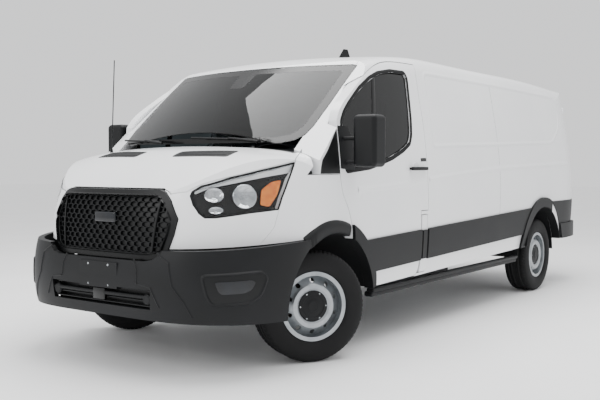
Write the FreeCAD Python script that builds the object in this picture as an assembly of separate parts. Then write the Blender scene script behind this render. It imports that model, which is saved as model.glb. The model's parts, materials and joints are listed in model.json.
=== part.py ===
"""Low-roof panel van with a long wheelbase, as separate named pieces.

Frame: +X forward, +Y to the van's left, +Z up, origin on the ground under the middle of the van.
Stations along the van are given as s, the distance in mm behind the foremost point of the nose.
Units are millimetres.
"""
import FreeCAD, Part
import math
import os

from FreeCAD import Vector

# ---------------------------------------------------------------- driving dimensions
BODY_LENGTH = 5981.0            # nose to rear bumper
NOSE_X = BODY_LENGTH / 2.0      # x of station s = 0
FRONT_OVERHANG = 1023.0         # nose to front axle
WHEELBASE = 3750.0
AXLE_F = FRONT_OVERHANG
AXLE_R = FRONT_OVERHANG + WHEELBASE
TAIL_S = 5925.0                 # outer face of the rear doors

TYRE_RADIUS = 356.0
TYRE_WIDTH = 235.0
RIM_RADIUS = 221.0
RIM_WIDTH = 190.0
TRACK_FRONT = 1732.0
TRACK_REAR = 1743.0
KINGPIN_Y = 800.0
STEER_ANGLE = 31.0              # the parked van stands with its front wheels turned right
FLARE_WIDTH = 78.0
REAR_FLARE_WIDTH = 92.0
FLARE_PROUD = 22.0
REAR_STEP_Z = 640.0             # top of the rear step

SIDE_WALL = 62.0                # whole thickness of side walls and doors
ROOF_WALL = 38.0
BONNET_WALL = 26.0
WING_WALL = 44.0
WING_TOP = 1187.0               # height where the wing meets the pillar's base
GLASS = 5.0
DOOR_GAP = 6.0                  # gap round a moving panel
SEAM = 3.0                      # gap between fixed panels
OVERRUN = 20.0
FLOOR_TOP = 640.0
FLOOR_THICKNESS = 40.0
ROOF_SEAM_Y = 812.0             # where roof panel and body side meet

MOULDING_PROUD = 14.0

# half width of the body against height
HALF_WIDTH = [(300, 975), (400, 990), (520, 1006), (700, 1018), (900, 1024), (1050, 1022), (1250, 1010),
              (1450, 988), (1650, 960), (1850, 926), (1950, 905), (2050, 880)]
# height of the roof's centre line against station
ROOF = [(900, 1700), (1300, 1872), (1495, 1965), (1650, 2010), (1800, 2044), (2000, 2077), (2200, 2098),
        (2400, 2109), (2800, 2117), (3500, 2121), (4500, 2119), (5200, 2110), (6000, 2088)]
# height of the bonnet's centre line against station
BONNET = [(0, 960), (100, 1062), (160, 1112), (250, 1182), (350, 1246), (468, 1303), (562, 1334), (760, 1372),
          (950, 1392), (1300, 1412)]
# station of the nose's centre line against height
NOSE = [(300, 40), (500, 40), (700, 50), (900, 63), (1050, 92), (1105, 116), (1200, 175), (1400, 330)]
NOSE_LEVELS = (280, 400, 550, 700, 850, 1000, 1105, 1250, 1420)
NOSE_REACH = 850.0
NOSE_HALF = 1030.0
# station of the bumper's centre line against height
BUMPER = [(280, 60), (330, 30), (400, 10), (500, 0), (620, 2), (700, 14), (760, 34), (900, 80)]
BUMPER_LEVELS = (290, 330, 400, 500, 620, 700, 800)
BUMPER_REACH = 700.0
BUMPER_HALF = 1034.0

SCREEN_S = 800.0                # windscreen: station and height at its foot, on the centre line
SCREEN_Z = 1385.0
SCREEN_TOP_Z = 1958.0
SCREEN_SLOPE = 1.213
SCREEN_BOW = 150.0
SCREEN_BOW_Y = 832.0
SCREEN_CROWN = 25.0

PLATE_HALF_WIDTH = 168.0        # number plate carrier on the front bumper, with its four screw holes
PLATE_Z = 590.0
PLATE_HOLES_Y = 177.8
PLATE_HOLES_Z = 120.65
PLATE_HOLE_R = 3.0


# ---------------------------------------------------------------- helpers
def P(s, y, z):
    """A point from its station, y and height."""
    return Vector(NOSE_X - s, y, z)


def value(table, x):
    """Smooth value at x of a table of (x, value) pairs."""
    if x <= table[0][0]:
        return float(table[0][1])
    if x >= table[-1][0]:
        return float(table[-1][1])
    i = 0
    while x > table[i + 1][0]:
        i += 1
    x0, y0 = table[i]
    x1, y1 = table[i + 1]
    slopes = []
    for j in (i, i + 1):
        a = max(j - 1, 0)
        b = min(j + 1, len(table) - 1)
        slopes.append((table[b][1] - table[a][1]) / (table[b][0] - table[a][0]))
    h = x1 - x0
    t = (x - x0) / h
    return ((2 * t**3 - 3 * t**2 + 1) * y0 + (t**3 - 2 * t**2 + t) * h * slopes[0]
            + (-2 * t**3 + 3 * t**2) * y1 + (t**3 - t**2) * h * slopes[1])


def spline(points):
    curve = Part.BSplineCurve()
    curve.interpolate(Points=points, Parameters=[float(k) for k in range(len(points))])
    return curve.toShape()


def smooth(points):
    """A spline edge through points, spaced by their distances."""
    curve = Part.BSplineCurve()
    curve.interpolate(points)
    return curve.toShape()


def outline(parts):
    """A closed wire from runs of points: a run of two is a line, a longer run is a smooth curve."""
    edges = []
    for run in parts:
        if len(run) == 2:
            edges.append(Part.makeLine(run[0], run[1]))
        else:
            edges.append(smooth(run))
    return Part.Wire(Part.__sortEdges__(edges))


def prism(wire, direction):
    return Part.Face(wire).extrude(direction)


def side_prism(runs, y0, y1):
    """Prism across the van from an outline in (s, z), between y0 and y1."""
    wire = outline([[P(s, y0, z) for s, z in run] for run in runs])
    return prism(wire, Vector(0, y1 - y0, 0))


def closed(points):
    """Runs of straight lines round a list of points."""
    return [[points[i], points[(i + 1) % len(points)]] for i in range(len(points))]


def box(s0, s1, y0, y1, z0, z1):
    return Part.makeBox(s1 - s0, y1 - y0, z1 - z0, P(s1, y0, z0))


def mirrored(shape):
    return shape.mirror(Vector(0, 0, 0), Vector(0, 1, 0))


def cylinder_y(s, z, radius, y0, y1):
    return Part.makeCylinder(radius, y1 - y0, P(s, y0, z), Vector(0, 1, 0))


def tube_between(a, b, radius):
    d = b.sub(a)
    return Part.makeCylinder(radius, d.Length, a, d)


def fuse(shapes):
    result = shapes[0]
    for other in shapes[1:]:
        result = result.fuse(other)
    return result.removeSplitter()


def solids(shape, least=1000.0):
    """The solids of a shape that are larger than a sliver, as one shape."""
    kept = [s for s in shape.Solids if s.Volume > least]
    if len(kept) == 1:
        return kept[0]
    return Part.makeCompound(kept)


# ---------------------------------------------------------------- master surfaces
def ring(points, s):
    """A closed section at one station from half of its points, bottom edge to centre line."""
    left = [P(s, y, z) for y, z in points]
    right = [P(s, -y, z) for y, z in reversed(points[:-1])]
    return Part.Wire([spline(left + right), Part.makeLine(right[-1], left[0])])


def overrun(inset):
    """How far an inner or outer copy of a solid runs past its ends, so that no two end faces coincide."""
    return OVERRUN if inset > 0 else (-OVERRUN if inset < 0 else 0.0)


def body_section(s, inset):
    crown = value(ROOF, s) - inset
    low = 300 - overrun(inset)
    points = [(value(HALF_WIDTH, z) - inset, z) for z in (low, 420, 560, 720, 900, 1060, 1230, 1400)]
    top = crown - 190
    middle = (1400 + top) / 2
    points.append((value(HALF_WIDTH, middle) - inset, middle))
    rail = value(HALF_WIDTH, top) - inset
    for dy, dz in ((0, 190), (20, 120), (50, 72), (100, 44), (180, 29)):
        points.append((rail - dy, crown - dz))
    points += [(rail * 0.55, crown - 14), (rail * 0.28, crown - 4), (0, crown)]
    return ring(points, s)


def body_solid(inset=0.0):
    more = overrun(inset)
    stations = (900 - more, 1300, 1600, 1900, 2300, 3000, 4000, 5000, 6000 + more)
    return Part.makeLoft([body_section(s, inset) for s in stations], True, False)


def screen_s(y, z, inset=0.0):
    t = (z - SCREEN_Z) / (SCREEN_TOP_Z - SCREEN_Z)
    crown = SCREEN_CROWN * 2 * t * (1 - t)
    return SCREEN_S + SCREEN_SLOPE * (z - SCREEN_Z) + SCREEN_BOW * (y / SCREEN_BOW_Y) ** 2 + inset - crown


def screen_solid(inset=0.0):
    """Everything behind the windscreen's surface."""
    wires = []
    for y in (-1100, -700, -350, 0, 350, 700, 1100):
        front = [P(screen_s(y, z, inset * 1.6), y, z) for z in (1000, 1180, 1300, 1450, 1600, 1750, 1900, 2100, 2300)]
        foot = P(screen_s(y, 1000, inset * 1.6), y, 250)
        low, high = P(6200, y, 250), P(6200, y, 2300)
        wires.append(Part.Wire([spline(front), Part.makeLine(front[-1], high), Part.makeLine(high, low),
                                Part.makeLine(low, foot), Part.makeLine(foot, front[0])]))
    return Part.makeLoft(wires, True, False)


CORNER_LONG = 520.0             # rounding of the rear corners in plan, along and across the van
CORNER_DEEP = 150.0


def rear_corner(s, y):
    """Plan of a rear corner: a quarter ellipse from the side at y to the rear face at s."""
    angles = [math.pi / 2 * k / 8 for k in range(9)]
    return [(s - CORNER_LONG * (1 - math.sin(t)), y - CORNER_DEEP * (1 - math.cos(t))) for t in angles]


def tail_solid(inset=0.0):
    """Everything ahead of the rear face, with the rounded rear corners and a slight forward lean."""
    wires = []
    more = overrun(inset)
    for z, s in ((200 - more, TAIL_S), (900, TAIL_S), (1500, TAIL_S - 20), (1900, TAIL_S - 60),
                 (2200 + more, TAIL_S - 120)):
        s -= inset
        y = value(HALF_WIDTH, min(z, 2000)) - inset + 2
        corner = rear_corner(s, y)
        left = [P(u, v, z) for u, v in corner]
        right = [P(u, -v, z) for u, v in reversed(corner)]
        front_a, front_b = P(400 - more, y, z), P(400 - more, -y, z)
        wires.append(Part.Wire([Part.makeLine(front_a, left[0]), smooth(left), Part.makeLine(left[-1], right[0]),
                                smooth(right), Part.makeLine(right[-1], front_b), Part.makeLine(front_b, front_a)]))
    return Part.makeLoft(wires, True, False)


def clip_section(s, inset):
    crown = value(BONNET, s) - inset
    points = [(value(HALF_WIDTH, z) - inset, z) for z in (300 - overrun(inset), 420, 560, 720)]
    top = crown - 205
    middle = (720 + top) / 2
    points.append((value(HALF_WIDTH, middle) - inset, middle))
    rail = value(HALF_WIDTH, top) - inset
    for dy, dz in ((0, 205), (22, 140), (65, 95), (130, 66), (230, 42)):
        points.append((rail - dy, crown - dz))
    points += [(rail * 0.55, crown - 18), (rail * 0.28, crown - 5), (0, crown)]
    return ring(points, s)


def super_curve(s0, reach, power, root, half, z, inset):
    """Plan curve of the nose at one height: half a super-ellipse."""
    points = []
    steps = 14
    for k in range(-steps, steps + 1):
        u = math.sin(k / steps * math.pi / 2)
        f = max(1 - abs(u) ** power, 0.0) ** (1 / root)
        points.append(P(s0 + reach * (1 - f) + inset, u * (half - inset), z))
    return points


def nose_solid(levels, table, reach, power, root, half, inset=0.0):
    wires = []
    more = overrun(inset)
    levels = (levels[0] - more,) + tuple(levels[1:-1]) + (levels[-1] + more,)
    for z in levels:
        points = super_curve(value(table, z), reach, power, root, half, z, inset)
        a, b = points[-1], points[0]
        back_a, back_b = P(1500 + more, a.y, z), P(1500 + more, b.y, z)
        wires.append(Part.Wire([spline(points), Part.makeLine(a, back_a), Part.makeLine(back_a, back_b),
                                Part.makeLine(back_b, b)]))
    return Part.makeLoft(wires, True, False)


def clip_solid(inset=0.0):
    """Bonnet, wings and nose as one solid."""
    more = overrun(inset)
    stations = (-more, 100, 200, 300, 420, 560, 760, 1000, 1300 + more)
    skin = Part.makeLoft([clip_section(s, inset) for s in stations], True, False)
    return skin.common(nose_solid(NOSE_LEVELS, NOSE, NOSE_REACH, 3.2, 1.6, NOSE_HALF, inset))


def bumper_solid(inset=0.0):
    return nose_solid(BUMPER_LEVELS, BUMPER, BUMPER_REACH, 4.5, 1.7, BUMPER_HALF, inset)


# ---------------------------------------------------------------- lines on the body
def sill_z(s):
    """Bottom edge of the painted side."""
    return 408.0 + 0.0219 * (s - 1534.0)


def band_low(s):
    return 519.0 + 0.0270 * (s - 1537.0)


def band_high(s):
    return 745.0 + 0.0300 * (s - 1447.0)


def bumper_top(s):
    return 752.0 + 0.056 * s


ARCH_F = (AXLE_F + 12.0, TYRE_RADIUS, 470.0)      # station, height and radius of the wheel openings
ARCH_R = (AXLE_R + 8.0, TYRE_RADIUS, 480.0)

DOOR_FRONT = [(1128, 1536), (1128, 1480), (1122, 1330), (1121, 1185), (1147, 1056), (1192, 984), (1230, 904),
              (1257, 791)]
DOOR_TOP = [(2336, 2014), (2144, 2011), (1975, 2002), (1819, 1975), (1676, 1924), (1501, 1832), (1344, 1732),
            (1162, 1589), (1128, 1536)]
DOOR_REAR = [(2328, 905), (2330, 1287), (2330, 1514), (2321, 1817), (2336, 2014)]
FLAP_EDGE = [(2162, sill_z(2162)), (2212, 470), (2224, 560), (2222, 720), (2214, 860)]


FLAP_WALL = 20.0
FLAP = [(2232, 446), (2306, 446), (2310, 874), (2230, 874)]
FLAP_OPENING = [(2190, 440), (2312, 440), (2316, 880), (2190, 880)]


def front_door_runs():
    corner = (1257, sill_z(1257))
    notch = (2214, 905)
    return [DOOR_FRONT, [DOOR_FRONT[-1], corner], [corner, FLAP_EDGE[0]], FLAP_EDGE, [FLAP_EDGE[-1], notch],
            [notch, DOOR_REAR[0]], DOOR_REAR, DOOR_TOP]


def door_window_runs():
    rear = [(2071, 1410), (2106, 1470), (2126, 1581), (2146, 1767), (2157, 1885)]
    top = [(2130, 1922), (1927, 1915), (1748, 1881), (1625, 1835), (1472, 1755), (1320, 1651), (1245, 1590)]
    low = [(1215, 1215), (1500, 1243), (1800, 1310), (1960, 1360), (2071, 1410)]
    return [rear, [rear[-1], top[0]], top, [top[-1], (1200, 1530)], [(1200, 1530), (1200, 1260)],
            [(1200, 1260), low[0]], low]


def slide_door_runs():
    front, rear = 2342.0, 3650.0
    low = [(front, sill_z(front)), (rear, sill_z(rear))]
    high = [(rear + 30, 1975), (front + 6, 1975)]
    return [low, [low[1], high[0]], high, [high[1], low[0]]]


def drawn_in(points, gap):
    """A closed loop of (a, b) points moved inwards by a gap, each along the mean of its two sides' normals."""
    count = len(points)
    area = sum(points[i][0] * points[(i + 1) % count][1] - points[(i + 1) % count][0] * points[i][1]
               for i in range(count))
    turn = 1.0 if area > 0 else -1.0
    moved = []
    for i in range(count):
        normals = []
        for p, q in ((points[i - 1], points[i]), (points[i], points[(i + 1) % count])):
            length = math.hypot(q[0] - p[0], q[1] - p[1])
            normals.append((-turn * (q[1] - p[1]) / length, turn * (q[0] - p[0]) / length))
        (ax, ay), (bx, by) = normals
        share = gap / (1.0 + ax * bx + ay * by)
        moved.append((points[i][0] + share * (ax + bx), points[i][1] + share * (ay + by)))
    return moved


def drawn_in_runs(runs, gap):
    """The same for an outline made of runs that follow each other."""
    loop = [p for run in runs for p in run[:-1]]
    moved = drawn_in(loop, gap)
    result, start = [], 0
    for run in runs:
        stop = start + len(run) - 1
        result.append([moved[k % len(moved)] for k in range(start, stop + 1)])
        start = stop
    return result


def shrunk_prism(runs, gap, y0, y1):
    """Prism of an outline in (s, z) drawn in by a gap all round."""
    return side_prism(drawn_in_runs(runs, gap), y0, y1)


def front_prism(points, s0, s1, offset=0.0):
    """Prism along the van from an outline in (y, z), grown by an offset."""
    loop = drawn_in(points, -offset) if offset else points
    wire = Part.makePolygon([P(s0, y, z) for y, z in loop] + [P(s0, loop[0][0], loop[0][1])])
    return Part.Face(wire).extrude(Vector(s0 - s1, 0, 0))


GRILLE_HALF = [(400, 1105), (444, 1089), (487, 1043), (545, 935), (529, 843), (492, 737), (443, 706), (377, 692)]
GRILLE = GRILLE_HALF + [(-y, z) for y, z in reversed(GRILLE_HALF)]

LAMP = [(189, 1067), (203, 1096), (237, 1125), (359, 1174), (521, 1218), (735, 1266), (658, 1146), (605, 1052),
        (574, 982), (411, 965), (254, 939), (214, 939), (197, 965), (186, 1016)]

BONNET_SIDE = [(149, 474, 1072), (189, 563, 1085), (237, 622, 1125), (359, 746, 1174), (521, 855, 1218),
               (735, 948, 1266), (905, 862, 1340)]
BONNET_TILT = 20.0              # the joint round the bonnet leans forward, so that it lifts clear


def bonnet_prism(offset):
    """The bonnet's outline as a leaning prism, drawn in by an offset."""
    base = 600.0
    slope = math.tan(math.radians(BONNET_TILT))

    def at_base(s, y, z):
        return (NOSE_X - s - (z - base) * slope, y)

    left = [at_base(*p) for p in BONNET_SIDE]
    right = [at_base(s, -y, z) for s, y, z in reversed(BONNET_SIDE)]
    rear = [at_base(760 + 60 * (y / 800) ** 2, y, 1372 - 40 * (y / 800) ** 2)
            for y in (850, 600, 300, 0, -300, -600, -850)]
    nose_l, nose_r = at_base(155, 420, 1105), at_base(155, -420, 1105)
    runs = [left[0:2], left[1:6], left[5:7], [left[6], rear[0]], rear, [rear[-1], right[0]], right[0:2],
            right[1:6], right[5:7], [right[6], nose_r], [nose_r, nose_l], [nose_l, left[0]]]
    if offset:
        runs = drawn_in_runs(runs, offset)
    wire = outline([[Vector(x, y, base) for x, y in run] for run in runs])
    height = 900.0
    return prism(wire, Vector(height * slope, 0, height))


# ---------------------------------------------------------------- shared solids
BODY = body_solid()
SCREEN = screen_solid()
TAIL = tail_solid()
CLIP = clip_solid()
OUTER = BODY.common(TAIL)
SIDE_SHELL = OUTER.cut(body_solid(SIDE_WALL).common(tail_solid(SIDE_WALL)))
INSIDE = body_solid(SIDE_WALL + SEAM).common(tail_solid(SIDE_WALL + SEAM))
BAND = body_solid(-MOULDING_PROUD).cut(BODY)
PROUD = body_solid(-FLARE_PROUD).cut(BODY)
LEFT = box(850, 6100, ROOF_SEAM_Y + SEAM / 2, 1200, 250, 2300)
ARCH_F_CUT = cylinder_y(ARCH_F[0], ARCH_F[1], ARCH_F[2], 480, 1200)
ARCH_R_CUT = cylinder_y(ARCH_R[0], ARCH_R[1], ARCH_R[2], 650, 1200)

nodes = {}


def under_sill():
    """Everything lower than the painted side's bottom edge."""
    runs = closed([(300, sill_z(300)), (6200, sill_z(6200)), (6200, 100), (300, 100)])
    return side_prism(runs, 300, 1200)


SILL_CUT = under_sill()
DOOR_CUT = side_prism(front_door_runs(), 600, 1200)
DOOR_FORM = shrunk_prism(front_door_runs(), DOOR_GAP, 600, 1200)
REAR_OPENING = [(885, 650), (892, 900), (862, 1500), (815, 1850), (770, 1975), (740, 2000)]
SCREEN_HALF = [(700, 1384), (780, 1404), (822, 1440), (838, 1500), (840, 1652), (828, 1945), (790, 1953), (400, 1957)]
SCREEN_OUTLINE = SCREEN_HALF + [(-y, z) for y, z in reversed(SCREEN_HALF)]
GLASS_POCKET = front_prism(SCREEN_OUTLINE, 600, 1900).common(screen_solid(-12).cut(screen_solid(9)))


def rear_prism(s0, s1, offset=0.0):
    pts = [(-y, z) for y, z in REAR_OPENING] + [(y, z) for y, z in reversed(REAR_OPENING)]
    return front_prism(pts, s0, s1, offset)


REAR_POCKET = TAIL_S - SIDE_WALL - DOOR_GAP - 90
REAR_CUT = rear_prism(REAR_POCKET, 6100)
LAMP_FRONT = 5790.0
LAMP_POCKET = box(LAMP_FRONT, 6000, 897, 1100, 884, 1452)


# ---------------------------------------------------------------- body
def pillar():
    """Windscreen pillar of the left side: it fills the way from the glass to the inner face of the door."""
    post = OUTER.common(SCREEN).cut(screen_solid(SIDE_WALL)).common(LEFT)
    post = post.common(box(850, 1700, 800, 1200, WING_TOP + SEAM, 1985))
    post = post.cut(front_prism(SCREEN_OUTLINE, 600, 1900, -20.0)).cut(GLASS_POCKET)
    return post.cut(DOOR_CUT.cut(body_solid(SIDE_WALL + DOOR_GAP + SEAM))).cut(bonnet_prism(-DOOR_GAP))


def body_side():
    """Pillars, cant rail, cargo wall and sill of the left side, as one pressing."""
    shell = SIDE_SHELL.common(LEFT).common(SCREEN)
    side = shell.cut(SILL_CUT).cut(DOOR_CUT).cut(ARCH_R_CUT).cut(REAR_CUT).cut(GLASS_POCKET).cut(LAMP_POCKET)
    side = side.cut(box(500, 1300, 700, 1200, 200, WING_TOP + SEAM))
    return side.fuse(pillar())


def body_side_left():
    side = body_side()
    return solids(side.cut(side_prism(closed(FLAP_OPENING), 900, 1200)))


def body_side_right():
    side = body_side().cut(side_prism(slide_door_runs(), 600, 1200))
    return solids(mirrored(side))


def fuel_flap():
    form = side_prism(closed(FLAP), 900, 1200)
    return solids(BODY.cut(body_solid(FLAP_WALL)).common(form))


def sliding_door_right():
    form = shrunk_prism(slide_door_runs(), DOOR_GAP, 600, 1200)
    return solids(mirrored(SIDE_SHELL.common(LEFT).common(form)))


def roof_panel():
    strip = box(900, 6100, -ROOF_SEAM_Y + SEAM / 2, ROOF_SEAM_Y - SEAM / 2, 1700, 2300)
    sheet = OUTER.common(strip).cut(body_solid(ROOF_WALL)).common(SCREEN).cut(GLASS_POCKET)
    header = OUTER.common(strip).cut(tail_solid(SIDE_WALL)).cut(REAR_CUT)
    return solids(sheet.fuse(header))


WINGS = CLIP.cut(clip_solid(WING_WALL))
BONNET_CUT = bonnet_prism(0.0)
LAMP_CUT = side_prism(closed(LAMP), 480, 1150)
UNDER_BUMPER_LINE = side_prism(closed([(-100, bumper_top(-100) + SEAM), (1262, bumper_top(1262) + SEAM), (1262, 100),
                                       (-100, 100)]), -1200, 1200)
NOSE_SEAM = [(-100, 100), (452, 700), (452, 779), (537, 877), (570, 972), (600, 1040), (300, 1300), (-100, 1300)]


def front_wing():
    region = box(300, 1262, 480, 1100, 500, 1397)
    behind = screen_solid(-SEAM).common(box(500, 1400, 400, 1200, WING_TOP, 1600))
    wing = WINGS.common(region).cut(DOOR_CUT).cut(BONNET_CUT).cut(LAMP_CUT).cut(UNDER_BUMPER_LINE)
    wing = wing.cut(side_prism(closed(NOSE_SEAM), 400, 1150)).cut(ARCH_F_CUT)
    wing = wing.cut(behind).cut(box(700, 960, 300, 852, 1200, 1500))
    return solids(wing, 20000.0)


def nose_panel():
    front = WINGS.cut(BONNET_CUT).cut(UNDER_BUMPER_LINE)
    front = front.common(box(-50, 640, -1100, 1100, 500, 1300)).cut(front_prism(GRILLE, -50, 400))
    seam = side_prism(closed([(s - SEAM, z) for s, z in NOSE_SEAM]), -1150, 1150)
    front = front.common(seam)
    front = front.cut(LAMP_CUT).cut(mirrored(LAMP_CUT))
    nose = nose_solid(NOSE_LEVELS, NOSE, NOSE_REACH, 3.2, 1.6, NOSE_HALF, 34.0)
    back = nose_solid(NOSE_LEVELS, NOSE, NOSE_REACH, 3.2, 1.6, NOSE_HALF, 52.0)
    strip = nose.cut(back).common(box(-50, 400, -560, 560, 762, 800))
    return solids(front.fuse(strip), 20000.0)


def bonnet():
    form = bonnet_prism(DOOR_GAP)
    sheet = CLIP.cut(clip_solid(BONNET_WALL)).common(form)
    return solids(sheet.cut(front_prism(GRILLE, -50, 400, DOOR_GAP)), 20000.0)


def headlamps():
    form = shrunk_prism(closed(LAMP), SEAM, 480, 1150)
    lamp = clip_solid(2.0).cut(clip_solid(62.0)).common(form).cut(BONNET_CUT)
    lamp = solids(lamp, 20000.0)
    return Part.makeCompound([lamp, mirrored(lamp)])


def grille():
    def skin(a, b):
        return nose_solid(NOSE_LEVELS, NOSE, NOSE_REACH, 3.2, 1.6, NOSE_HALF, a).cut(
            nose_solid(NOSE_LEVELS, NOSE, NOSE_REACH, 3.2, 1.6, NOSE_HALF, b))
    plate = skin(-10.0, 30.0).common(front_prism(GRILLE, -50, 400, -2.0))
    return solids(plate.cut(skin(-30.0, 12.0).common(front_prism(GRILLE, -50, 400, -34.0))))


def front_bumper():
    wall = 32.0
    shell = bumper_solid().cut(bumper_solid(wall))
    shell = shell.common(side_prism(closed([(-100, 350), (300, 333), (1200, 318), (1200, bumper_top(1200)),
                                            (-100, bumper_top(-100))]), -1150, 1150))
    shell = shell.cut(ARCH_F_CUT).cut(mirrored(ARCH_F_CUT)).cut(front_prism(GRILLE, -100, 300, 3.0))
    shell = shell.cut(box(1000, 2000, -1200, 1200, 200, 1000))
    intake = [(-440, 526), (440, 526), (430, 412), (-430, 412)]
    shell = shell.cut(front_prism(intake, -50, 200))
    plate = box(0, 40, -PLATE_HALF_WIDTH, PLATE_HALF_WIDTH, PLATE_Z - 78, PLATE_Z + 78)
    shell = shell.fuse(plate)
    for y in (-PLATE_HOLES_Y / 2, PLATE_HOLES_Y / 2):
        for z in (PLATE_Z - PLATE_HOLES_Z / 2, PLATE_Z + PLATE_HOLES_Z / 2):
            shell = shell.cut(Part.makeCylinder(PLATE_HOLE_R, 60, P(-10, y, z), Vector(-1, 0, 0)))
    return solids(shell, 20000.0)


def cowl_panel():
    base = clip_solid(4.0).cut(clip_solid(20.0)).cut(bonnet_prism(-2.0)).cut(screen_solid(-2.0))
    base = base.common(box(700, 1000, -850, 850, 1200, 1500))
    return solids(base, 5000.0)


def windscreen():
    sheet = screen_solid(1.5).cut(screen_solid(1.5 + GLASS / 1.3))
    pane = front_prism(SCREEN_OUTLINE, 600, 1900, -4.0)
    return solids(sheet.common(pane).common(BODY))


# ---------------------------------------------------------------- doors
def front_door():
    shell = SIDE_SHELL.common(box(850, 2500, ROOF_SEAM_Y + DOOR_GAP, 1200, 250, 2300)).common(DOOR_FORM)
    arch = cylinder_y(ARCH_F[0], ARCH_F[1], ARCH_F[2], 480, 1200)
    return solids(shell.cut(arch).cut(side_prism(door_window_runs(), 600, 1200)), 20000.0)


def door_glass():
    sheet = body_solid(10.0).cut(body_solid(10.0 + GLASS))
    return solids(sheet.common(side_prism(door_window_runs(), 600, 1200)).common(SCREEN))


LIP = 5.0                       # black edging that lines a wheel opening
HALF_AT_ARCH = 1040.0


def ring_prism(arch, width, y0, y1):
    s, z, r = arch
    return cylinder_y(s, z, r + width, y0, y1).cut(cylinder_y(s, z, r, y0, y1))


def band_prism(s0, s1):
    return side_prism(closed([(s0, band_low(s0)), (s1, band_low(s1)), (s1, band_high(s1)), (s0, band_high(s0))]),
                      600, 1200)


def door_moulding():
    flare = PROUD.common(ring_prism(ARCH_F, FLARE_WIDTH, 600, 1200)).cut(SILL_CUT)
    strip = BAND.common(band_prism(1300, 2400)).cut(cylinder_y(*ARCH_F[:2], ARCH_F[2] + FLARE_WIDTH, 600, 1200))
    lip = ring_prism((ARCH_F[0], ARCH_F[1], ARCH_F[2] - LIP), LIP, 968, HALF_AT_ARCH).cut(SILL_CUT)
    trim = fuse([flare, strip, lip]).common(DOOR_FORM).common(box(1200, 2400, 600, 1200, 200, 1200))
    return solids(trim, 5000.0)


def mirror():
    """Door mirror on two arms, with its base plate on the door."""
    skin = body_solid(-8.0).cut(BODY).common(
        side_prism(closed([(1135, 1500), (1135, 1225), (1290, 1215), (1290, 1420), (1240, 1500)]), 700, 1200))
    y_in, y_out = 1075.0, 1245.0
    head = Part.makeBox(155, y_out - y_in, 335, P(1320, y_in, 1235))
    head = head.makeFillet(32, head.Edges)
    arms = [tube_between(P(1190, 985, z), P(1235, 1110, z), 13) for z in (1265, 1420)]
    arms = [a.cut(BODY) for a in arms]
    return solids(fuse([skin, head] + arms))


def rear_door():
    shell = OUTER.cut(tail_solid(SIDE_WALL))
    form = rear_prism(TAIL_S - 400, 6100, -DOOR_GAP).common(
        box(REAR_POCKET + DOOR_GAP, 6200, DOOR_GAP / 2, 1200, 200, 2300))
    window = front_prism([(130, 1330), (700, 1330), (690, 1840), (130, 1840)], 5500, 6100)
    return solids(shell.common(form).cut(window))


def rear_glass():
    sheet = tail_solid(10.0).cut(tail_solid(10.0 + GLASS))
    return solids(sheet.common(front_prism([(130, 1330), (700, 1330), (690, 1840), (130, 1840)], 5500, 6100)))


# ---------------------------------------------------------------- trim
def side_mouldings():
    """Band and rear flare that stay on the body, both sides."""
    rear_disc = cylinder_y(ARCH_R[0], ARCH_R[1], ARCH_R[2] + REAR_FLARE_WIDTH, 600, 1200)
    low_s = 2318 + DOOR_GAP
    strip = BAND.common(band_prism(low_s, 5400)).cut(rear_disc)
    flare = PROUD.common(ring_prism(ARCH_R, REAR_FLARE_WIDTH, 600, 1200)).cut(SILL_CUT).cut(
        side_prism(closed([(5000, 200), (5700, 200), (5700, 872), (5000, 872)]), 600, 1200))
    lip = ring_prism((ARCH_R[0], ARCH_R[1], ARCH_R[2] - LIP), LIP, 958, HALF_AT_ARCH)
    lip = lip.common(box(4000, 5600, 600, 1200, sill_z(AXLE_R), 1200)).cut(SILL_CUT)
    left = fuse([strip.common(box(2000, 4900, 600, 1200, 200, 1200)), flare, lip])
    left = Part.makeCompound(solids(left, 5000.0).Solids)
    return Part.makeCompound([left, mirrored(left)])


def tail_lamps():
    block = box(LAMP_FRONT + SEAM, 6000, 897 + SEAM, 1100, 884 + SEAM, 1452 - SEAM)
    lens = solids(OUTER.common(block).cut(body_solid(26).common(tail_solid(26))))
    return Part.makeCompound([lens, mirrored(lens)])


def rear_bumper():
    half, wall, low, high = 1034.0, 46.0, 484.0, 880.0

    def plan(offset):
        corner = rear_corner(BODY_LENGTH - offset, half - offset)
        left = [P(u, v, low) for u, v in corner]
        right = [P(u, -v, low) for u, v in reversed(corner)]
        front_a, front_b = P(5000, half - offset, low), P(5000, -half + offset, low)
        wire = Part.Wire([Part.makeLine(front_a, left[0]), smooth(left), Part.makeLine(left[-1], right[0]),
                          smooth(right), Part.makeLine(right[-1], front_b), Part.makeLine(front_b, front_a)])
        return prism(wire, Vector(0, 0, high - low))
    shell = plan(0).cut(plan(wall)).common(box(4900, 6100, -1100, 1100, low, REAR_STEP_Z))
    cap = body_solid(-MOULDING_PROUD).common(tail_solid(-6.0)).cut(OUTER)
    cap = cap.common(box(4900, 6100, 905, 1100, REAR_STEP_Z, high))
    flare = cylinder_y(ARCH_R[0], ARCH_R[1], ARCH_R[2] + REAR_FLARE_WIDTH, 600, 1200)
    shell = fuse([shell, cap, mirrored(cap)]).cut(flare).cut(mirrored(flare)).cut(OUTER)
    return solids(shell, 20000.0)


def half_pipe(s, z, radius, wall, y0, y1):
    pipe = cylinder_y(s, z, radius + wall, y0, y1).cut(cylinder_y(s, z, radius, y0, y1))
    return pipe.common(box(s - 600, s + 600, y0, y1, z + 20, z + 600))


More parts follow.
